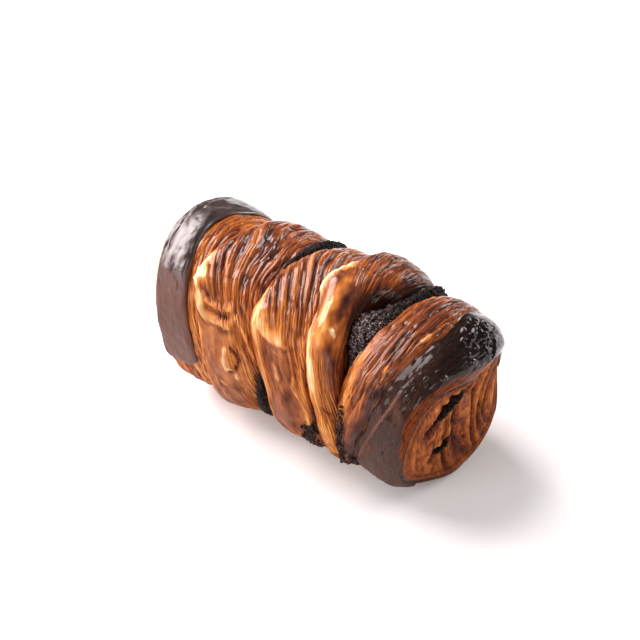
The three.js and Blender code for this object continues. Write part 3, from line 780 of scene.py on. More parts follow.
def fan_place(fan, back, up):
    """Where a point of a face lies on its fan: which roll (0 to count - 1) and how far down (0 to 1). Both
    follow from each other, so they are worked out three times in turn."""
    (left_top, right_top), (left_foot, right_foot) = fan.tops, fan.feet
    across = np.full(np.shape(back), 0.5)
    for _ in range(3):
        top = left_top[1] + (right_top[1] - left_top[1]) * across
        foot = left_foot[1] + (right_foot[1] - left_foot[1]) * across
        down = (top - up) / (top - foot)
        bent = back + fan.bow * (1 - (2 * np.clip(down, 0, 1) - 1) ** 2)
        start = left_top[0] + (left_foot[0] - left_top[0]) * down
        end = right_top[0] + (right_foot[0] - right_top[0]) * down
        across = (bent - start) / np.where(np.abs(end - start) < 1, 1, end - start)
    return across * (fan.count - 1), down


def fan_relief(name, seed):
    """The rolls' height, colour depth and layers on an end face: each roll is |cos| of its place, to a power
    under 1 for a flat top and a sharp crease, with a height and a tone of its own. Near its foot a roll
    splits in two, and a groove runs round inside the rim. The creases between rolls, the splits, the groove
    and the strands' grooves are painted darker: painted shade. Calm rolls, the first two of the right face,
    are broad and flat and have a pale streak. Strands, pocks and crumb roughen the whole face."""
    skin, fan = skins[name], FANS[name]
    radius = skin.share * cap_point(skin.lobe, 90.0 * fan.side, skin.turn)[1]
    roll, down = fan_place(fan, *back_and_up(radius, skin.turn))
    roll = roll + 0.6 * smooth_noise(roll * 6, down * 90, 9.0, 7, seed) + 0.2 * np.sin(2.3 * roll + 2 * down)

    def noise_at(pitch, cells, step, stretch=90, apart=ROLL_WIDTH):
        """Noise over the rolls, with a seed so many steps on; a small stretch draws it out down them."""
        return smooth_noise(roll * apart, down * stretch, pitch, cells, seed + step)

    own = np.random.default_rng(seed).uniform(-1, 1, (2, 32))[:, np.floor(roll + 0.5).astype(int) % 32]
    deep = 0.35 + 0.65 * fade(noise_at(5.0, 16, 5, apart=6), -0.5, 0.5)
    calm = 1 - fade(roll, 1.0, 2.6) if fan.side > 0 else 0.3
    hill = 1 - deep * (1 - 0.8 * calm) * (1 - np.abs(np.cos(np.pi * roll)) ** 0.8)
    split = fade(down, 0.5, 0.8) * (1 - np.abs(np.cos(2 * np.pi * roll)) ** 0.7)
    here = fade(down, -0.3, 0.1) * (1 - fade(down, 0.95, 1.2))
    groove = np.exp(-(((skin.share - 0.92) / 0.03) ** 2))
    strands = valley(noise_at(0.9, 7, 1, stretch=60), 0.3)
    streak = fade(noise_at(1.7, 8, 6, stretch=40), 0.1, 0.8) * calm
    pocks = noise_at(1.3, 60, 7)
    height = here * (2.8 * hill + 0.4 * own[0] - 0.7 * split - 2.0 + 0.4 * streak)
    height = height - 0.15 * strands - 0.7 * groove + 0.4 * pocks
    # Creases between the rolls, the splits, the groove and the strands' grooves are painted darker: painted
    # shade.
    brown = 0.5 + here * (0.5 - 0.5 * hill + 0.08 * own[1] + 0.14 * split - 0.2 * streak) + 0.1 * strands
    brown = brown - 0.12 * noise_at(3.0, 12, 3) - 0.12 * pocks - 0.1 * noise_at(0.7, 110, 9) + 0.3 * groove
    return SimpleNamespace(height=height, brown=brown, layer=roll * ROLL_WIDTH + 0.5 * noise_at(1.6, 24, 8))


def slit_line(slit, share):
    """Points of a slit's middle line on the end face, as back and up from the axis in mm: a straight line
    from its start (share -1) to its end (share 1), bowed aside by (1 - share²)."""
    start, end = np.array(slit.start, float), np.array(slit.end, float)
    forward = (end - start) / np.linalg.norm(end - start)
    middle = (start + end) / 2 + (end - start) / 2 * np.asarray(share)[..., None]
    bowed = slit.bow * (1 - np.asarray(share) ** 2)[..., None]
    return middle + bowed * np.array([-forward[1], forward[0]]), forward


def sink_slits(face, skin):
    """Sinks the dough beside the slits of the right face and paints it dark, as painted shade in the slit:
    fully within 0.8 of a slit's half width from its line and not at all 2.4 mm beyond that half width, with a
    ragged edge."""
    radius = skin.share * cap_point(skin.lobe, 90.0, skin.turn)[1]
    spot = np.stack(back_and_up(radius, skin.turn), -1)
    ragged = 0.5 * smooth_noise(spot[..., 0], spot[..., 1] * 6, 1.5, 60, 97)
    for slit in SLITS.values():
        line = slit_line(slit, np.linspace(-1, 1, 25))[0]
        distance = np.sqrt(np.min(np.sum((spot[:, :, None] - line) ** 2, axis=-1), axis=2))
        inside = 1 - fade(distance + ragged, slit.wide * 0.8, slit.wide + 2.4)
        face.height = face.height * (1 - inside) - SLIT_SINK * inside
        face.brown = face.brown + (SLIT_SHADE - face.brown) * inside


faces = {name: fan_relief(name, 90 + 5 * k) for k, name in enumerate(FANS)}
sink_slits(faces["right_end"], skins["right_end"])
for name, face in faces.items():
    print(name, "face relief", face.height.min().round(2), "to", face.height.max().round(2), "mm")

# %% [markdown]
# ## Bands of cocoa dough
#
# A strip of dark cocoa dough is laid over each end before the loaf is twisted. It is a solid of its own in
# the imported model, a strip with a blunt edge that lies in a groove. Here it is a closed ring of points, flat
# below and rounded at its edges, carried round the loaf. Its upper side carries what the oven left: pocks,
# bubbles, a curl, and rings and wrinkles where the glaze boiled. Along one rim the dough is rubbed bare. A
# plane with a Solidify modifier could make the strip, but then its edges would all be square.

# %% The bands' shapes
# under and over: mm that the band lies in the dough and stands above it. low and high: leans of its edges.
# rough: how much fine noise. boiled: where the glaze boiled, as middle lean and reach, middle turn and reach.
# bare: the lean beyond which crust shows. dull: how matt and pale the band is.
BANDS = {
    "cocoa_band_left": SimpleNamespace(
        lobe=LOBES["left_end"], turns=(-16, 218), under=1.6, over=always(1.1),
        low=around((-40, -62), (0, -30), (20, -20), (40, -16), (60, -22), (85, -50), (110, -72), (180, -75)),
        high=around((-30, 36), (0, 38), (50, 31), (90, 20), (117, 27), (180, 34), (225, 44)),
        rough=1.2, boiled=None, bare=always(120),
        dull=around(
            (-90, 0.9), (0, 0.88), (40, 0.82), (50, 0.34), (64, 0.22), (90, 0.2), (180, 0.22), (230, 0.5),
        ),
    ),
    "cocoa_band_right": SimpleNamespace(
        lobe=LOBES["right_end"], turns=(-62, 186), under=1.8,
        over=around((-60, 0.3), (0, 0.4), (90, 0.6), (120, 1.8), (150, 1.2), (200, 0.4)),
        low=around((-60, -72), (0, -42), (90, -30), (180, -50)),
        high=around((-60, 74), (0, 82), (60, 86), (180, 84)),
        rough=0.8, boiled=((46, 40), (112, 28)),
        bare=around(
            (-60, 84), (-15, 84), (10, 58), (30, 44), (40, 44), (55, 56), (80, 68), (120, 78), (157, 84),
            (200, 84),
        ),
        dull=around(
            (-90, 0.66), (0, 0.56), (26, 0.52), (44, 0.38), (64, 0.32), (84, 0.06), (96, 0.0), (140, 0.0),
            (190, 0.3),
        ),
    ),
}
BAND_TOP, BAND_UNDER, BAND_LENGTH = 90, 10, 250  # points over the upper side, underneath, round the loaf
MEAN_DROP = 6  # mm that the end lobes' caps fall, on average

# Marks of a band: points (lean, turn), half width, height, how matt and pale it is.
BAND_MARKS = {
    "cocoa_band_left": [
        ([(-12, 92), (-2, 97)], 1.0, -0.5, 0.1), ([(-28, 104), (-16, 108)], 0.9, -0.5, 0.1),
        ([(-34, 90), (-26, 86)], 0.8, -0.5, 0.1), ([(6, 104), (12, 110)], 0.8, -0.5, 0.1),
        ([(-10, 80), (-4, 78)], 0.6, -0.35, 0.1), ([(-40, 74), (-34, 70)], 0.9, -0.4, 0.1),
        ([(2, 112), (-6, 120)], 0.8, 0.4, 0), ([(-20, 96), (-8, 88)], 0.8, 0.35, 0),
        ([(-4, 40), (0, 37)], 0.6, 0.4, 0), ([(30, 8), (31, 5)], 0.6, 0.35, 1.2),
        ([(14, 36), (18, 33)], 0.5, 0.3, 0.3),
        ([(-30, 52), (-38, 44)], 1.2, 0.35, 0), ([(8, 47), (14, 44), (20, 40)], 0.9, 0.35, 0),
        ([(10, 96), (16, 82), (18, 66), (20, 50)], 1.4, 0.25, -0.3), ([(0, 74), (4, 60)], 1.2, -0.25, -0.25),
        ([(-20, 34), (-10, 20), (-6, 4)], 1.6, 0.15, -0.2), ([(14, 24), (20, 8)], 1.6, -0.15, -0.2),
    ],
    "cocoa_band_right": [
        ([(2, 46), (-3, 35), (-12, 20), (-22, 2), (-32, -14)], 0.5, 0.7, 0.8),
        ([(4, 40), (12, 35), (26, 32)], 1.5, 0.3, 0.3), ([(-2, 30), (4, 22), (2, 12)], 2.4, -0.3, -0.12),
        ([(-30, 40), (-34, 26), (-40, 12)], 1.4, -0.3, -0.15),
        ([(10, -2), (24, -6), (36, -4)], 1.0, 0.25, 0.12),
        ([(13, 4), (13.5, 3)], 0.55, -0.9, -1.5), ([(30, 16), (33, 14)], 0.45, -0.4, -0.8),
        ([(2, -8), (3, -10)], 0.4, -0.35, -0.8), ([(-8, 24), (-7, 22)], 0.4, -0.3, -0.6),
        ([(20, -16), (22, -17)], 0.4, -0.4, -0.8), ([(38, 8), (38, 7)], 0.4, -0.35, -0.8),
        ([(-14, 4), (-18, -8)], 0.8, 0.3, 0.25), ([(44, 24), (46, 14)], 0.9, -0.3, -0.3),
    ],
}
# Bubbles of the right band: lean, turn, radius, height.
BUBBLES = {
    "cocoa_band_right": [
        (9, 55, 1.1, 0.9), (20, 52, 0.8, 0.6), (27, 61, 1.0, 0.8), (34, 58, 0.7, 0.6), (50, 69, 1.0, 0.8),
        (18, 46, 1.2, 0.7), (10, 48, 0.7, 0.5), (44, 62, 0.7, 0.5), (30, 70, 0.6, 0.5), (14, 62, 0.6, 0.4),
        (26, 104, 1.3, 0.9), (34, 112, 1.1, 0.8), (24, 116, 1.0, 0.8), (42, 104, 1.0, 0.7),
        (20, 108, 0.7, 0.6), (60, 98, 0.8, 0.5), (38, 120, 0.8, 0.7), (30, 126, 0.9, 0.8),
        (16, 120, 0.8, 0.5), (46, 96, 0.6, 0.4),
    ],
}
# Rings where its glaze boiled up: lean, turn, radius, half width, height.
RINGS = {
    "cocoa_band_right": [
        (54, 117, 3.2, 0.6, 0.8), (54, 117, 1.1, 0.35, 0.5), (14, 106, 1.9, 0.45, 0.8),
        (26, 99, 1.4, 0.4, 0.7), (4, 114, 1.5, 0.45, 0.6), (32, 112, 1.0, 0.4, 0.6),
        (22, 118, 1.2, 0.4, 0.6),
    ],
}


def between(turns, share):
    """The turn at a share (-1 to 1) of the way from the first of two turns to the second."""
    return (turns[0] + turns[1]) / 2 + (turns[1] - turns[0]) / 2 * share


def band_skin(band):
    """The lean and turn of each point of a band's section: across its upper side and back underneath. out is
    1 above and -1 below, and falls to 0 at the edges by (1 - |aside|^10)^(1/2)."""
    aside = np.concatenate([np.linspace(-1, 1, BAND_TOP), np.linspace(1, -1, BAND_UNDER + 2)[1:-1]])[:, None]
    above = np.arange(len(aside))[:, None] < BAND_TOP
    out = np.where(above, 1, -1) * np.sqrt(1 - np.abs(aside) ** 10)
    share = np.linspace(-1, 1, BAND_LENGTH)
    turn, taper = between(band.turns, share), np.sqrt(1 - np.abs(share) ** 40)
    low, high = band.low(turn), band.high(turn)
    lean = np.clip((low + high) / 2 + (high - low) / 2 * taper * aside, -89, 89)
    return SimpleNamespace(lobe=band.lobe, lean=lean, turn=turn, taper=taper, aside=aside, out=out)


def spot_distance(skin, lean, turn):
    """The distance in mm over the skin from every point to one (lean, turn): across the lobe, as on an
    ellipse of the mean reach and drop, and round the loaf."""
    reach = (skin.lobe.left(turn) + skin.lobe.right(turn)) / 2
    mm_per_radian = np.hypot(reach * np.cos(np.radians(lean)), MEAN_DROP * np.sin(np.radians(lean)))
    across = np.radians(skin.lean - lean) * mm_per_radian
    return np.hypot(across, np.radians(from_turn(skin.turn, turn)) * END_ROUND)


def steps_along(path):
    """Twelve (lean, turn) points at even steps along each piece of a path, its ends among them."""
    for (lean, turn), (lean2, turn2) in zip(path, path[1:]):
        for t in np.linspace(0, 1, 12):
            yield lean + t * (lean2 - lean), turn + t * (turn2 - turn)


def band_relief(name, skin, across, seed):
    """A band's relief in mm and what its marks add to its dullness: noise at four sizes, wrinkles where the
    glaze boiled, marks by exp(-(distance / width)²), half-round bubbles, and rings with a hollow middle."""
    band = BANDS[name]
    relief = 0.26 * smooth_noise(across, skin.turn, 4.0, 30, seed)
    for pitch, tall, cells in ((1.6, 0.12, 60), (0.8, 0.07, 120), (0.45, 0.025, 220)):
        relief = relief + tall * band.rough * smooth_noise(across, skin.turn, pitch, cells, seed + cells)
    if band.boiled:
        (lean_mid, lean_reach), (turn_mid, turn_reach) = band.boiled
        share = window(skin.lean, lean_mid, lean_reach)
        share = share * window(from_turn(skin.turn, turn_mid), 0, turn_reach)
        relief -= 0.8 * share * valley(smooth_noise(across, skin.turn, 1.5, 80, seed + 6), 0.7)
    dull = np.zeros_like(relief)
    for path, wide, rise, matt in BAND_MARKS[name]:
        nearest = np.min([spot_distance(skin, *spot) for spot in steps_along(path)], axis=0)
        near = np.exp(-((nearest / wide) ** 2))
        relief += rise * near
        dull += matt * near
    for lean, turn, radius, rise in BUBBLES.get(name, []):
        relief += rise * np.sqrt(np.maximum(1 - (spot_distance(skin, lean, turn) / radius) ** 2, 0))
    for lean, turn, radius, wide, rise in RINGS.get(name, []):
        distance = spot_distance(skin, lean, turn)
        relief += rise * np.exp(-(((distance - radius) / wide) ** 2))
        relief -= 0.5 * rise * np.exp(-((2 * distance / radius) ** 2))
    return relief, dull


def make_band(name, seed):
    """A band: its section carried round the loaf, with its relief on the upper side. Where it is dull and
    where it is bare follow its own curves, with ragged edges."""
    band, skin = BANDS[name], band_skin(BANDS[name])
    across = np.radians(skin.lean) * ((band.lobe.left(skin.turn) + band.lobe.right(skin.turn)) / 2)
    relief, dull = band_relief(name, skin, across, seed)
    relief *= np.maximum(skin.out, 0) * fade(1 - np.abs(skin.aside), 0, 0.06)
    over = band.over(skin.turn)
    lift = ((over - band.under) / 2 + (over + band.under) / 2 * skin.out + relief) * skin.taper
    points = place(*cap_point(band.lobe, skin.lean, skin.turn, lift), skin.turn).transpose(1, 0, 2)
    ragged = 3.0 * smooth_noise(across, skin.turn, 3.0, 50, seed + 3)
    ragged += 2.0 * smooth_noise(across, skin.turn, 1.0, 90, seed + 4)
    dull += band.dull(skin.turn + ragged) + 0.1 * smooth_noise(across, skin.turn, 0.9, 30, seed + 5)
    bare = fade(skin.lean + 0.8 * ragged - band.bare(skin.turn), -3, 3)
    piece = closed_surface(name, points, {"layer": across.T, "dull": dull.T, "bare": bare.T})
    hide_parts(name)
    return piece


bands = [make_band("cocoa_band_left", 201), make_band("cocoa_band_right", 211)]

# %% [markdown]
# ## The lobes as meshes
#
# Under a band the dough sinks by a millimetre, so that no ruffle pokes through the strip. The same goes for
# the fifth lobe, which slides under the right band. Everywhere else the relief is laid on as worked out.

# %% Lobes
BAND_SINK = 1.1  # mm that the dough sinks under a band
RIM_BROWN, FACE_GLOSS = 0.62, 0.04  # browning at the rim of an end face, and the glaze on the face


def under_band(skin, band, margin):
    """1 where a band covers a lobe, 0 outside it, with a soft edge inside the band."""
    low, high = band.low(skin.turn), band.high(skin.turn)
    inside = fade(skin.lean - low, 0, margin) * fade(high - skin.lean, 0, margin)
    reach = (band.turns[1] - band.turns[0]) / 2
    return inside * fade(reach - np.abs(from_turn(skin.turn, between(band.turns, 0))), 0, 8)


for side, band in (("left_end", "cocoa_band_left"), ("right_end", "cocoa_band_right")):
    covered = under_band(skins[side], BANDS[band], 6)
    reliefs[side].height = reliefs[side].height * (1 - covered) - BAND_SINK * covered
reliefs["fifth"].height = reliefs["fifth"].height - 0.7 * fade(skins["fifth"].lean, 62, 84)


def make_lobe(name):
    """A lobe's mesh: its smooth shape with the relief on its cap, and the fan's relief on an end face."""
    skin, relief = skins[name], reliefs[name]
    x, radius = smooth_shape(skin, relief.height)
    values = {key: getattr(relief, key) for key in ("brown", "layer", "smooth", "gloss", "paste")}
    if name in faces:
        face, side = faces[name], FANS[name].side
        on_face = (skin.share < 1) & (np.sign(skin.lean) == side)
        inner = np.where(on_face, 1 - skin.share**6, 0)
        x = x + side * face.height * inner
        brown = face.brown * inner + RIM_BROWN * (1 - inner)
        own = {"brown": brown, "layer": face.layer, "smooth": 0, "gloss": FACE_GLOSS}
        values.update({key: np.where(on_face, value, values[key]) for key, value in own.items()})
    values["brown"] = np.clip(values["brown"], 0, 1)
    piece = closed_surface("dough_" + name, place(x, radius, skin.turn), values)
    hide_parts("dough")
    return piece


lobes = [make_lobe(name) for name in LOBES]

# %% [markdown]
# ## Filling
#
# Chocolate hazelnut paste bakes into dark, grainy clods where it is pressed out of a crease. A smooth roll
# with a bump texture would show as a smooth outline, so the clods are real relief: noise whose absolute
# value leaves round hills with sharp valleys, at three sizes.

# %% Filling in the creases
# x, radius: the roll's middle, mm along the loaf and from its axis. crumb: height of the clods in mm.
# glint: share of the specks painted pale as glints, a painted highlight.
FILLINGS = {
    "filling_main": SimpleNamespace(
        turns=(-62, 176), columns=420, rows=170, crumb=0.6,
        glint=around((30, 0), (52, 0.4), (64, 1), (78, 1), (90, 0.35), (110, 0.08), (200, 0)),
        x=around((-60, 26), (-30, 27), (0, 29), (40, 28.5), (75, 24.5), (95, 27.5), (135, 31), (180, 29)),
        radius=around(
            (-60, 22), (0, 22.5), (36, 23.5), (60, 26.5), (78, 27), (100, 26), (118, 28.5), (140, 32),
            (180, 26),
        ),
        half_width=around((-60, 2.4), (0, 2), (40, 3.4), (75, 7), (98, 4.2), (140, 3.4), (180, 2.4)),
        half_depth=around((-60, 6.5), (0, 6), (75, 6), (100, 7), (140, 8), (180, 7)),
    ),
    "filling_top": SimpleNamespace(
        turns=(64, 205), columns=200, rows=90, crumb=0.4, glint=always(0),
        x=around((60, -17.5), (90, -15.5), (135, -12.5), (180, -11)),
        radius=around((70, 27.5), (90, 29), (135, 30), (180, 27)),
        half_width=around((60, 1.8), (90, 3), (135, 3), (180, 2.4)), half_depth=always(6.5),
    ),
    "filling_front": SimpleNamespace(
        turns=(-62, 16), columns=140, rows=80, crumb=0.3, glint=always(0),
        x=around((-60, -8.2), (0, -7), (90, -12)), radius=always(26.4), half_width=always(3),
        half_depth=always(6.5),
    ),
    "filling_foot": SimpleNamespace(
        turns=(-70, -6), columns=120, rows=80, crumb=0.6, glint=always(0.1),
        x=around((-60, 14.5), (-30, 16), (0, 18.5)), radius=around((-60, 27.5), (-30, 27.5), (0, 27)),
        half_width=always(3.4), half_depth=always(6.2),
    ),
}


def make_filling(name, seed):
    """Filling in a crease: an ellipse carried round the loaf, closed to a point at both ends by
    sqrt(1 - share²), with clods on it."""
    roll = FILLINGS[name]
    share = np.linspace(-1, 1, roll.columns)
    turn, taper = between(roll.turns, share), np.sqrt(1 - share**2)
    angle = np.linspace(0, 2 * np.pi, roll.rows, endpoint=False)[:, None]
    width, depth = roll.half_width(turn) * taper, roll.half_depth(turn) * taper
    grain = clods(np.sqrt((width**2 + depth**2) / 2) * angle, turn, 2.2, seed)
    seam = fade(0.5 - 0.5 * np.cos(angle), 0.0, 0.1)  # no relief where the ring of points starts and ends
    swell = roll.crumb * grain * np.minimum(1, 3 * taper) * seam
    x = roll.x(turn) + (width + swell) * np.sin(angle)
    radius = roll.radius(turn) - (depth + swell) * np.cos(angle)
    glint = np.broadcast_to(roll.glint(turn), grain.shape)
    points = place(x, radius, turn).transpose(1, 0, 2)
    piece = closed_surface(name, points, {"clod": grain.T, "glint": glint.T})
    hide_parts(name)
    return piece


fillings = [make_filling(name, 300 + 10 * k) for k, name in enumerate(FILLINGS)]

# %% [markdown]
# ## Filling in the slits of the right end
#
# Two slits between the rolls of the end face show filling. Each is a flattened roll that lies on the face
# from one point to another, sunk into it.

# %% Filling in the slits
def make_slit(name, seed):
    """Filling in a slit: an ellipse, wide across the slit and deep into the face, carried along a bowed line
    and closed to a point at both ends by sqrt(1 - |t|³)."""
    slit, lobe = SLITS[name], LOBES["right_end"]
    t = np.linspace(-1, 1, 110)
    angle = np.linspace(0, 2 * np.pi, 90, endpoint=False)[:, None]
    taper = np.sqrt(1 - np.abs(t) ** 3)
    line, forward = slit_line(slit, t)
    grain = clods(angle * slit.deep, t * 40, 1.8, seed)
    aside = (slit.wide + 0.3 * grain * fade(taper, 0, 0.4)) * taper * np.cos(angle)
    turn = np.degrees(np.arctan2(line[:, 1], -line[:, 0]))
    share = np.minimum(1, np.hypot(line[:, 0], line[:, 1]) / cap_point(lobe, 90.0, turn)[1])
    x = face_x(lobe, 1, share, turn) - slit.sunk + (slit.deep - 0.8 + 0.4 * grain) * taper * np.sin(angle)
    y, z = line[:, 0] - forward[1] * aside, AXIS_HEIGHT + line[:, 1] + forward[0] * aside
    points = (np.stack(np.broadcast_arrays(x, y, z), -1) - MIDDLE).transpose(1, 0, 2)
    piece = closed_surface(name, points, {"clod": grain.T, "glint": 0.0})
    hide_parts(name)
    return piece


slits = [make_slit(name, 360 + 10 * k) for k, name in enumerate(SLITS)]

# %% [markdown]
# ## Crumbs
#
# Crumbs of baked filling cling to the foot of the creases. One small ball of few faces, pushed out of round
# by noise, is repeated at the true size of each crumb, and all of them are one mesh: a few thousand
# triangles cost less than instances, and each crumb can be seen in the exported mesh.

# %% Crumbs
# Lines of crumbs: lobe, points (lean, turn), how many, spread in mm.
CRUMB_LINES = [
    ("third", [(38, -6), (30, -16), (30, -34)], 90, 1.5),
    ("fourth", [(-54, 2), (-48, -18), (-42, -36)], 70, 1.3),
    ("fifth", [(-26, 20), (-10, 4), (8, -24)], 90, 1.1),
    ("fifth", [(36, -16), (54, -32)], 26, 1.4),
    ("second", [(62, -14), (66, -34)], 10, 0.8),
]


def ball():
    """A rough ball of 42 points: the ones of an icosahedron and the middles of its edges, at distance 1."""
    golden = (1 + 5**0.5) / 2
    corners = np.array([(0, a, b * golden) for a in (-1, 1) for b in (-1, 1)], float)
    corners = np.concatenate([corners, corners[:, [1, 2, 0]], corners[:, [2, 0, 1]]])
    gap = np.linalg.norm(corners[:, None] - corners[None], axis=2)
    near = gap < 2.1
    triples = [
        (i, j, k) for i in range(12) for j in range(i + 1, 12) for k in range(j + 1, 12)
        if near[i, j] and near[j, k] and near[i, k]
    ]
    middles = {}
    points = list(corners)

    def middle(i, j):
        key = (min(i, j), max(i, j))
        if key not in middles:
            middles[key] = len(points)
            points.append((corners[i] + corners[j]) / 2)
        return middles[key]

    triangles = []
    for i, j, k in triples:
        if np.dot(np.cross(corners[j] - corners[i], corners[k] - corners[i]), corners[i]) < 0:
            j, k = k, j
        a, b, c = middle(i, j), middle(j, k), middle(k, i)
        triangles += [(i, a, c), (a, j, b), (c, b, k), (a, b, c)]
    points = np.array(points)
    return points / np.linalg.norm(points, axis=1, keepdims=True), np.array(triangles)


def make_crumbs(seed):
    """All crumbs in one mesh: along each line a crumb lies at a random share of the way, aside by the
    spread, on the lobe's skin."""
    rng = np.random.default_rng(seed)
    unit, triangles = ball()
    points, faces = [], []
    for name, path, count, spread in CRUMB_LINES:
        lobe = LOBES[name]
        for share in rng.uniform(0, len(path) - 1.001, count):
            k, t = int(share), share % 1
            lean = path[k][0] + t * (path[k + 1][0] - path[k][0]) + rng.normal(0, spread) * 3
            turn = path[k][1] + t * (path[k + 1][1] - path[k][1]) + rng.normal(0, spread) * 1.2
            size = 0.25 + 0.6 * rng.uniform() ** 2
            centre = place(*cap_point(lobe, np.float64(lean), np.float64(turn), 0.35 * size), turn)
            shape = unit * (1 + rng.uniform(-0.22, 0.22, (len(unit), 1))) * rng.uniform(0.7, 1.2, 3) * size
            faces.append(triangles + len(unit) * len(points))
            points.append(shape + np.maximum(centre, [-100, -100, 0.7 * size]))
    points, faces = np.concatenate(points), np.concatenate(faces)
    # Crumbs carry a few painted glints.
    values = {"clod": np.full(len(points), 0.9), "glint": np.full(len(points), 0.2)}
    piece = new_piece("crumbs", points, faces.tolist(), values)
    print("crumbs:", len(points) // len(unit), "crumbs,", len(faces), "triangles")
    return piece


crumbs = make_crumbs(400)

# %% [markdown]
# ## Node groups
#
# Two effects are wanted by more than one finish, so each is a node group with named sockets. *Fine layers*
# gives the hair-fine lines of laminated dough: noise that is stretched round the loaf and squeezed across the
# layers. *Grain* gives small dark and light specks. A group puts out only masks that vary over the surface;
# the shader that uses them stays in its material.

# %% Helpers for nodes
def give(socket, value):
    """Gives an input socket another node's output, or else a value."""
    if isinstance(value, bpy.types.NodeSocket):
        socket.id_data.links.new(value, socket)
    else:
        socket.default_value = value


def give_all(made, **sockets):
    """The same for several inputs of a node, by name, with _ for a space."""
    for key, value in sockets.items():
        give(made.inputs[key.replace("_", " ")], value)


def group(name, inputs, outputs):
    """A new shader node group with float inputs (name, default) and float outputs, and its two end nodes."""
    tree = bpy.data.node_groups.new(name, "ShaderNodeTree")
    for label, default in inputs:
        socket = tree.interface.new_socket(label, in_out="INPUT", socket_type="NodeSocketFloat")
        socket.default_value = default
    for label in outputs:
        tree.interface.new_socket(label, in_out="OUTPUT", socket_type="NodeSocketFloat")
    return tree, tree.nodes.new("NodeGroupInput"), tree.nodes.new("NodeGroupOutput")


def node(tree, kind, sockets=None, **settings):
    """A node of one kind with its settings; sockets gives a value or another node's output for each input,
    by name or by number."""
    made = tree.nodes.new("ShaderNode" + kind)
    for key, value in settings.items():
        setattr(made, key, value)
    for key, value in (sockets or {}).items():
        give(made.inputs[key], value)
    return made


def calculate(tree, operation, a, b=0.0, c=0.0, clamp=False):
    """The output of a Math node."""
    return node(tree, "Math", {0: a, 1: b, 2: c}, operation=operation, use_clamp=clamp).outputs[0]


def scaled(tree, value, factor, add=0.0, clamp=False):
    """A value times a factor, plus another."""
    return calculate(tree, "MULTIPLY_ADD", value, factor, add, clamp)


def noise(tree, vector, scale, detail=2.0, roughness=0.5):
    """The 0 to 1 output of a Noise Texture node."""
    sockets = {"Vector": vector, "Scale": scale, "Detail": detail, "Roughness": roughness}
    return node(tree, "TexNoise", sockets).outputs[0]


def attributes(tree, *names):
    """The outputs of some of a piece's own attributes."""
    return [node(tree, "Attribute", attribute_name=name).outputs["Fac"] for name in names]


def object_mm(tree):
    """The place on the object, in mm."""
    metres = node(tree, "TexCoord").outputs["Object"]
    return node(tree, "VectorMath", {0: metres, "Scale": 1000.0}, operation="SCALE").outputs[0]


# %% Fine layers
def fine_layers_group():
    """Lines across the layers, by two noises with the vector (layer, y / stretch, z / stretch) in mm. Lines
    has a sharp valley where the first noise is near 0.5, and Hairs is the second as it is."""
    inputs = [("Layer", 0.0), ("Lines per mm", 1.0), ("Stretch", 9.0)]
    tree, start, end = group("fine_layers", inputs, ["Lines", "Hairs"])
    layer, per_mm, stretch = (start.outputs[label] for label, _ in inputs)
    apart = node(tree, "SeparateXYZ", {0: object_mm(tree)})
    long_y, long_z = (calculate(tree, "DIVIDE", apart.outputs[i], stretch) for i in (1, 2))
    vector = node(tree, "CombineXYZ", {0: layer, 1: long_y, 2: long_z}).outputs[0]
    wave = calculate(tree, "SUBTRACT", noise(tree, vector, per_mm, 1.0, 0.5), 0.5)
    lines = calculate(tree, "MULTIPLY", calculate(tree, "ABSOLUTE", wave), 6.0, clamp=True)
    hairs = noise(tree, vector, calculate(tree, "MULTIPLY", per_mm, 2.7), 1.0, 0.6)
    give_all(end, Lines=lines, Hairs=hairs)
    return tree


def grain_group():
    """Specks from 0 to 1: a noise in mm, sharpened about its middle, and a second, finer one."""
    tree, start, end = group("grain", [("Size in mm", 1.0)], ["Specks", "Dust"])
    place_mm = object_mm(tree)
    per_mm = calculate(tree, "DIVIDE", 1.0, start.outputs["Size in mm"])
    specks = scaled(tree, noise(tree, place_mm, per_mm, 2.0, 0.6), 4.0, -1.9, clamp=True)
    dust = noise(tree, place_mm, calculate(tree, "MULTIPLY", per_mm, 3.1), 1.0, 0.5)
    give_all(end, Specks=specks, Dust=dust)
    return tree


FINE_LAYERS, GRAIN = fine_layers_group(), grain_group()


def place_group(tree, grouped, **sockets):
    """The outputs of a node group that is placed in a material with its own values."""
    made = tree.nodes.new("ShaderNodeGroup")
    made.node_tree = grouped
    give_all(made, **sockets)
    return made.outputs


def ramp(tree, value, *stops):
    """A colour ramp through (position, (red, green, blue)) stops, in linear light."""
    made = node(tree, "ValToRGB", {0: value})
    elements = made.color_ramp.elements
    while len(elements) < len(stops):
        elements.new(0.5)
    for element, (position, colour) in zip(elements, stops):
        element.position = position
        element.color = (*colour, 1)
    return made.outputs[0]


def mix_colour(tree, share, a, b):
    """Two colours, each another node's output or (red, green, blue), mixed by a share."""
    made = node(tree, "Mix", data_type="RGBA")
    for i, value in ((0, share), (6, a), (7, b)):
        give(made.inputs[i], (*value, 1) if isinstance(value, tuple) else value)
    return made.outputs[2]


def bumped(tree, height, strength, distance):
    """The normal of a Bump node; distance in m."""
    return node(tree, "Bump", {"Strength": strength, "Distance": distance, "Height": height}).outputs[0]


def finish_of(name, **sockets):
    """A new material whose Principled BSDF has these uniform values, and its node tree and shader."""
    material = bpy.data.materials.new(name)
    material.use_nodes = True
    shader = next(n for n in material.node_tree.nodes if n.type == "BSDF_PRINCIPLED")
    give_all(shader, **sockets)
    return material, material.node_tree, shader


print("node groups:", FINE_LAYERS.name, GRAIN.name)

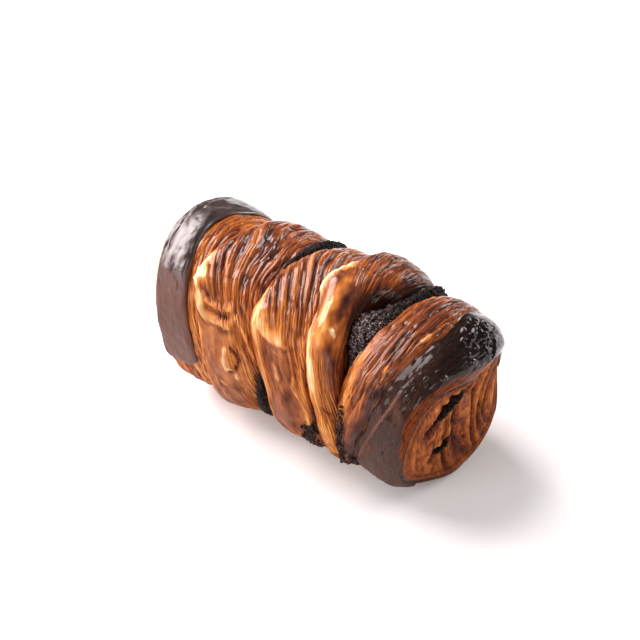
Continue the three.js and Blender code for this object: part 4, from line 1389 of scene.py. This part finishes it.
# %% [markdown]
# ## Crust
#
# A glazed crust runs from cream, where two layers shielded each other, over honey and chestnut to nearly
# black syrup. The browning that was worked out with the relief, painted shade of creases and grooves
# included, chooses the colour on a ramp, and the fine layers move it up and down. Mixing two flat browns
# would look painted: on the real crust hue changes with depth, from yellow to red. The glaze is a coat over
# a rougher crumb.

# %% Crust material
CRUST_COLOURS = (
    (0.0, (0.8, 0.6, 0.38)), (0.14, (0.76, 0.41, 0.14)), (0.3, (0.64, 0.225, 0.048)),
    (0.48, (0.42, 0.118, 0.025)), (0.66, (0.22, 0.052, 0.013)), (0.84, (0.09, 0.022, 0.01)),
    (1.0, (0.03, 0.009, 0.005)),
)
SKIN_COLOURS = ((0.15, (0.44, 0.17, 0.075)), (0.5, (0.22, 0.072, 0.034)), (0.85, (0.08, 0.026, 0.016)))
PASTE_COLOURS = ((0.4, (0.012, 0.006, 0.005)), (0.75, (0.07, 0.035, 0.028)))


def crust():
    """Crust: the browning attribute, painted shade included, plus the fine layers' share picks a colour; dull
    skin is greyer.
    """
    material, tree, shader = finish_of("crust", Coat_Roughness=0.12, Coat_IOR=1.47, Specular_IOR_Level=0.06)
    brown, smooth, gloss, layer, paste = attributes(tree, "brown", "smooth", "gloss", "layer", "paste")
    layers = place_group(tree, FINE_LAYERS, Layer=layer, Lines_per_mm=1.6, Stretch=13.0)
    grain = place_group(tree, GRAIN, Size_in_mm=1.1)
    sheer = scaled(tree, smooth, -0.8, 1.0)
    lines, hairs = scaled(tree, layers["Lines"], -0.12, 0.08), scaled(tree, layers["Hairs"], -0.3, 0.15)
    moved = calculate(tree, "MULTIPLY", calculate(tree, "ADD", lines, hairs), sheer)
    depth = calculate(tree, "ADD", brown, moved, clamp=True)
    skin_depth = scaled(tree, grain["Dust"], 0.4, calculate(tree, "SUBTRACT", depth, 0.2))
    dull = calculate(tree, "MULTIPLY", smooth, scaled(tree, gloss, -1.2, 0.9, clamp=True))
    baked = mix_colour(tree, dull, ramp(tree, depth, *CRUST_COLOURS), ramp(tree, skin_depth, *SKIN_COLOURS))
    colour = mix_colour(tree, paste, baked, ramp(tree, grain["Dust"], *PASTE_COLOURS))
    rough = scaled(tree, layers["Hairs"], 0.2, scaled(tree, gloss, -0.25, 0.55))
    relief = calculate(tree, "MULTIPLY", scaled(tree, layers["Hairs"], 0.5, layers["Lines"]), sheer)
    normal = bumped(tree, scaled(tree, grain["Dust"], 0.3, relief), 0.9, 0.00022)
    give_all(shader, Base_Color=colour, Roughness=rough, Coat_Weight=gloss, Normal=normal)
    return material


CRUST = crust()
for piece in lobes:
    piece.data.materials.append(CRUST)
print("crust on", len(lobes), "lobes")

# %% [markdown]
# ## Cocoa dough
#
# The bands are nearly black where the syrup pooled and grey-brown and matt where the tin rubbed it off. One
# attribute, how dull the surface is, moves colour, roughness and coat together, because on the real strip
# it is one cause that changes all three.

# %% Cocoa material
COCOA_COLOURS = ((0.0, (0.008, 0.003, 0.002)), (0.4, (0.03, 0.013, 0.009)), (1.0, (0.14, 0.066, 0.05)))
BARE_COLOURS = ((0.1, (0.06, 0.012, 0.004)), (0.6, (0.22, 0.05, 0.013)))


def cocoa(name, shine, **uniform):
    """Cocoa dough: dull parts are grey-brown and rough, the others nearly black under a glossy coat, and
    where the strip is bare the crust below shows, in thin layers."""
    material, tree, shader = finish_of(name, **uniform)
    layer, own_dull, bare = attributes(tree, "layer", "dull", "bare")
    layers = place_group(tree, FINE_LAYERS, Layer=layer, Lines_per_mm=0.9, Stretch=7.0)
    grain = place_group(tree, GRAIN, Size_in_mm=0.9)
    dull = calculate(tree, "ADD", own_dull, scaled(tree, layers["Hairs"], 0.7, -0.35), clamp=True)
    specks = calculate(tree, "MULTIPLY", grain["Specks"], calculate(tree, "MULTIPLY", dull, 0.4))
    tinted = mix_colour(tree, specks, ramp(tree, dull, *COCOA_COLOURS), (0.16, 0.06, 0.035))
    colour = mix_colour(tree, bare, tinted, ramp(tree, layers["Lines"], *BARE_COLOURS))
    rough = scaled(tree, dull, 0.4, 0.34, clamp=True)
    coat = scaled(tree, bare, -0.5, scaled(tree, dull, -1.3, shine, clamp=True), clamp=True)
    normal = bumped(tree, scaled(tree, grain["Dust"], 0.8, layers["Lines"]), 0.7, 0.00016)
    give_all(shader, Base_Color=colour, Roughness=rough, Coat_Weight=coat, Normal=normal)
    return material


COCOAS = [
    cocoa(
        "cocoa_left", 1.2, Coat_Roughness=0.3, Coat_IOR=1.66, Specular_IOR_Level=0.5,
        Specular_Tint=(1, 0.7, 0.69, 1),
    ),
    cocoa("cocoa_right", 0.9, Coat_Roughness=0.1, Coat_IOR=1.45, Specular_IOR_Level=0.04),
]
for piece, finish in zip(bands, COCOAS):
    piece.data.materials.append(finish)
print("cocoa on", len(bands), "bands")

# %% [markdown]
# ## Filling and crumbs
#
# Baked filling is nearly black, with grey-lilac glints on its clods. A glint is a speck painted pale, a
# painted highlight, that is also smoother and has a coat, so that it brightens and fades with the light too.
# Pale paint alone would look like dust from every side. A *glint* attribute says how many painted glints
# show in each part of a crease.

# %% Filling material
FILLING_COLOURS = ((0.3, (0.004, 0.002, 0.002)), (0.7, (0.014, 0.007, 0.006)), (1.0, (0.05, 0.03, 0.028)))


def filling_finish():
    """Filling: the clods' height and the grain pick a colour between black-brown and grey-brown, and specks
    are painted paler as glints, a painted highlight, and are smoother and coated where glint is high."""
    material, tree, shader = finish_of("filling", Coat_Roughness=0.16, Coat_IOR=1.6, Specular_IOR_Level=0.06)
    clod, glint = attributes(tree, "clod", "glint")
    grain = place_group(tree, GRAIN, Size_in_mm=0.8)
    dark = ramp(tree, scaled(tree, clod, 0.35, grain["Dust"]), *FILLING_COLOURS)
    # Specks painted pale where glint is high: painted glints.
    pale = calculate(tree, "MULTIPLY", grain["Specks"], scaled(tree, glint, 0.8, 0.04))
    normal = bumped(tree, scaled(tree, grain["Dust"], 0.5, grain["Specks"]), 1.0, 0.0004)
    colour = mix_colour(tree, pale, dark, (0.44, 0.33, 0.33))
    rough, coat = scaled(tree, grain["Specks"], -0.25, 0.55), scaled(tree, grain["Specks"], glint, 0.04)
    give_all(shader, Base_Color=colour, Roughness=rough, Coat_Weight=coat, Normal=normal)
    return material


FILLING = filling_finish()
for piece in fillings + slits + [crumbs]:
    piece.data.materials.append(FILLING)
print("filling on", len(fillings) + len(slits) + 1, "pieces")

# %% [markdown]
# ## Floor and light
#
# The photograph was taken in soft white light from the left, which draws a highlight along every ridge. A
# large softbox on the left does that, and a small low one behind brightens the far rims. Two weak fills, from
# the front and from the right, keep the shadows open together with a dim world. The floor glows a little, to
# stay as pale as the photograph's ground. A sun would give hard shadows that the photograph lacks.

# %% Floor and light
def area_light(name, azimuth, elevation, distance, size, power, colour):
    """A square area light that looks at the loaf from a distance and has a size in m, and a power in W."""
    lamp = bpy.data.lights.new(name, "AREA")
    lamp.shape, lamp.size, lamp.energy, lamp.color = "SQUARE", size, power, colour
    made = bpy.data.objects.new(name, lamp)
    made.matrix_world = looking_at_loaf(azimuth, elevation, distance)
    bpy.context.scene.collection.objects.link(made)


FLOOR_HALF = 3  # m
WHITE, PALE_GREY = (1, 1, 1, 1), (0.92, 0.92, 0.92, 1)

floor_mesh = bpy.data.meshes.new("floor")
corners = [(x * FLOOR_HALF, y * FLOOR_HALF, 0) for x, y in ((-1, -1), (1, -1), (1, 1), (-1, 1))]
floor_mesh.from_pydata(corners, [], [(0, 1, 2, 3)])
floor = bpy.data.objects.new("floor", floor_mesh)
bpy.context.scene.collection.objects.link(floor)
glow = {"Emission_Color": WHITE, "Emission_Strength": 0.1}
floor_mesh.materials.append(finish_of("floor", Roughness=0.9, Base_Color=PALE_GREY, **glow)[0])

world = bpy.data.worlds.new("studio")
world.use_nodes = True
background = next(n for n in world.node_tree.nodes if n.type == "BACKGROUND")
give_all(background, Color=(1.0, 0.985, 0.97, 1), Strength=0.12)
bpy.context.scene.world = world
bpy.context.scene.view_settings.view_transform = "Standard"

area_light("left softbox", -90, 42, 1.1, 1.1, 36, (1, 0.93, 0.93))
area_light("back softbox", 156, 20, 1.2, 0.5, 7, (1, 0.96, 0.96))
area_light("front fill", -18, 28, 1.5, 0.7, 9, (1, 0.96, 0.95))
area_light("right fill", 70, 14, 1.5, 0.6, 6, (1, 0.96, 0.95))
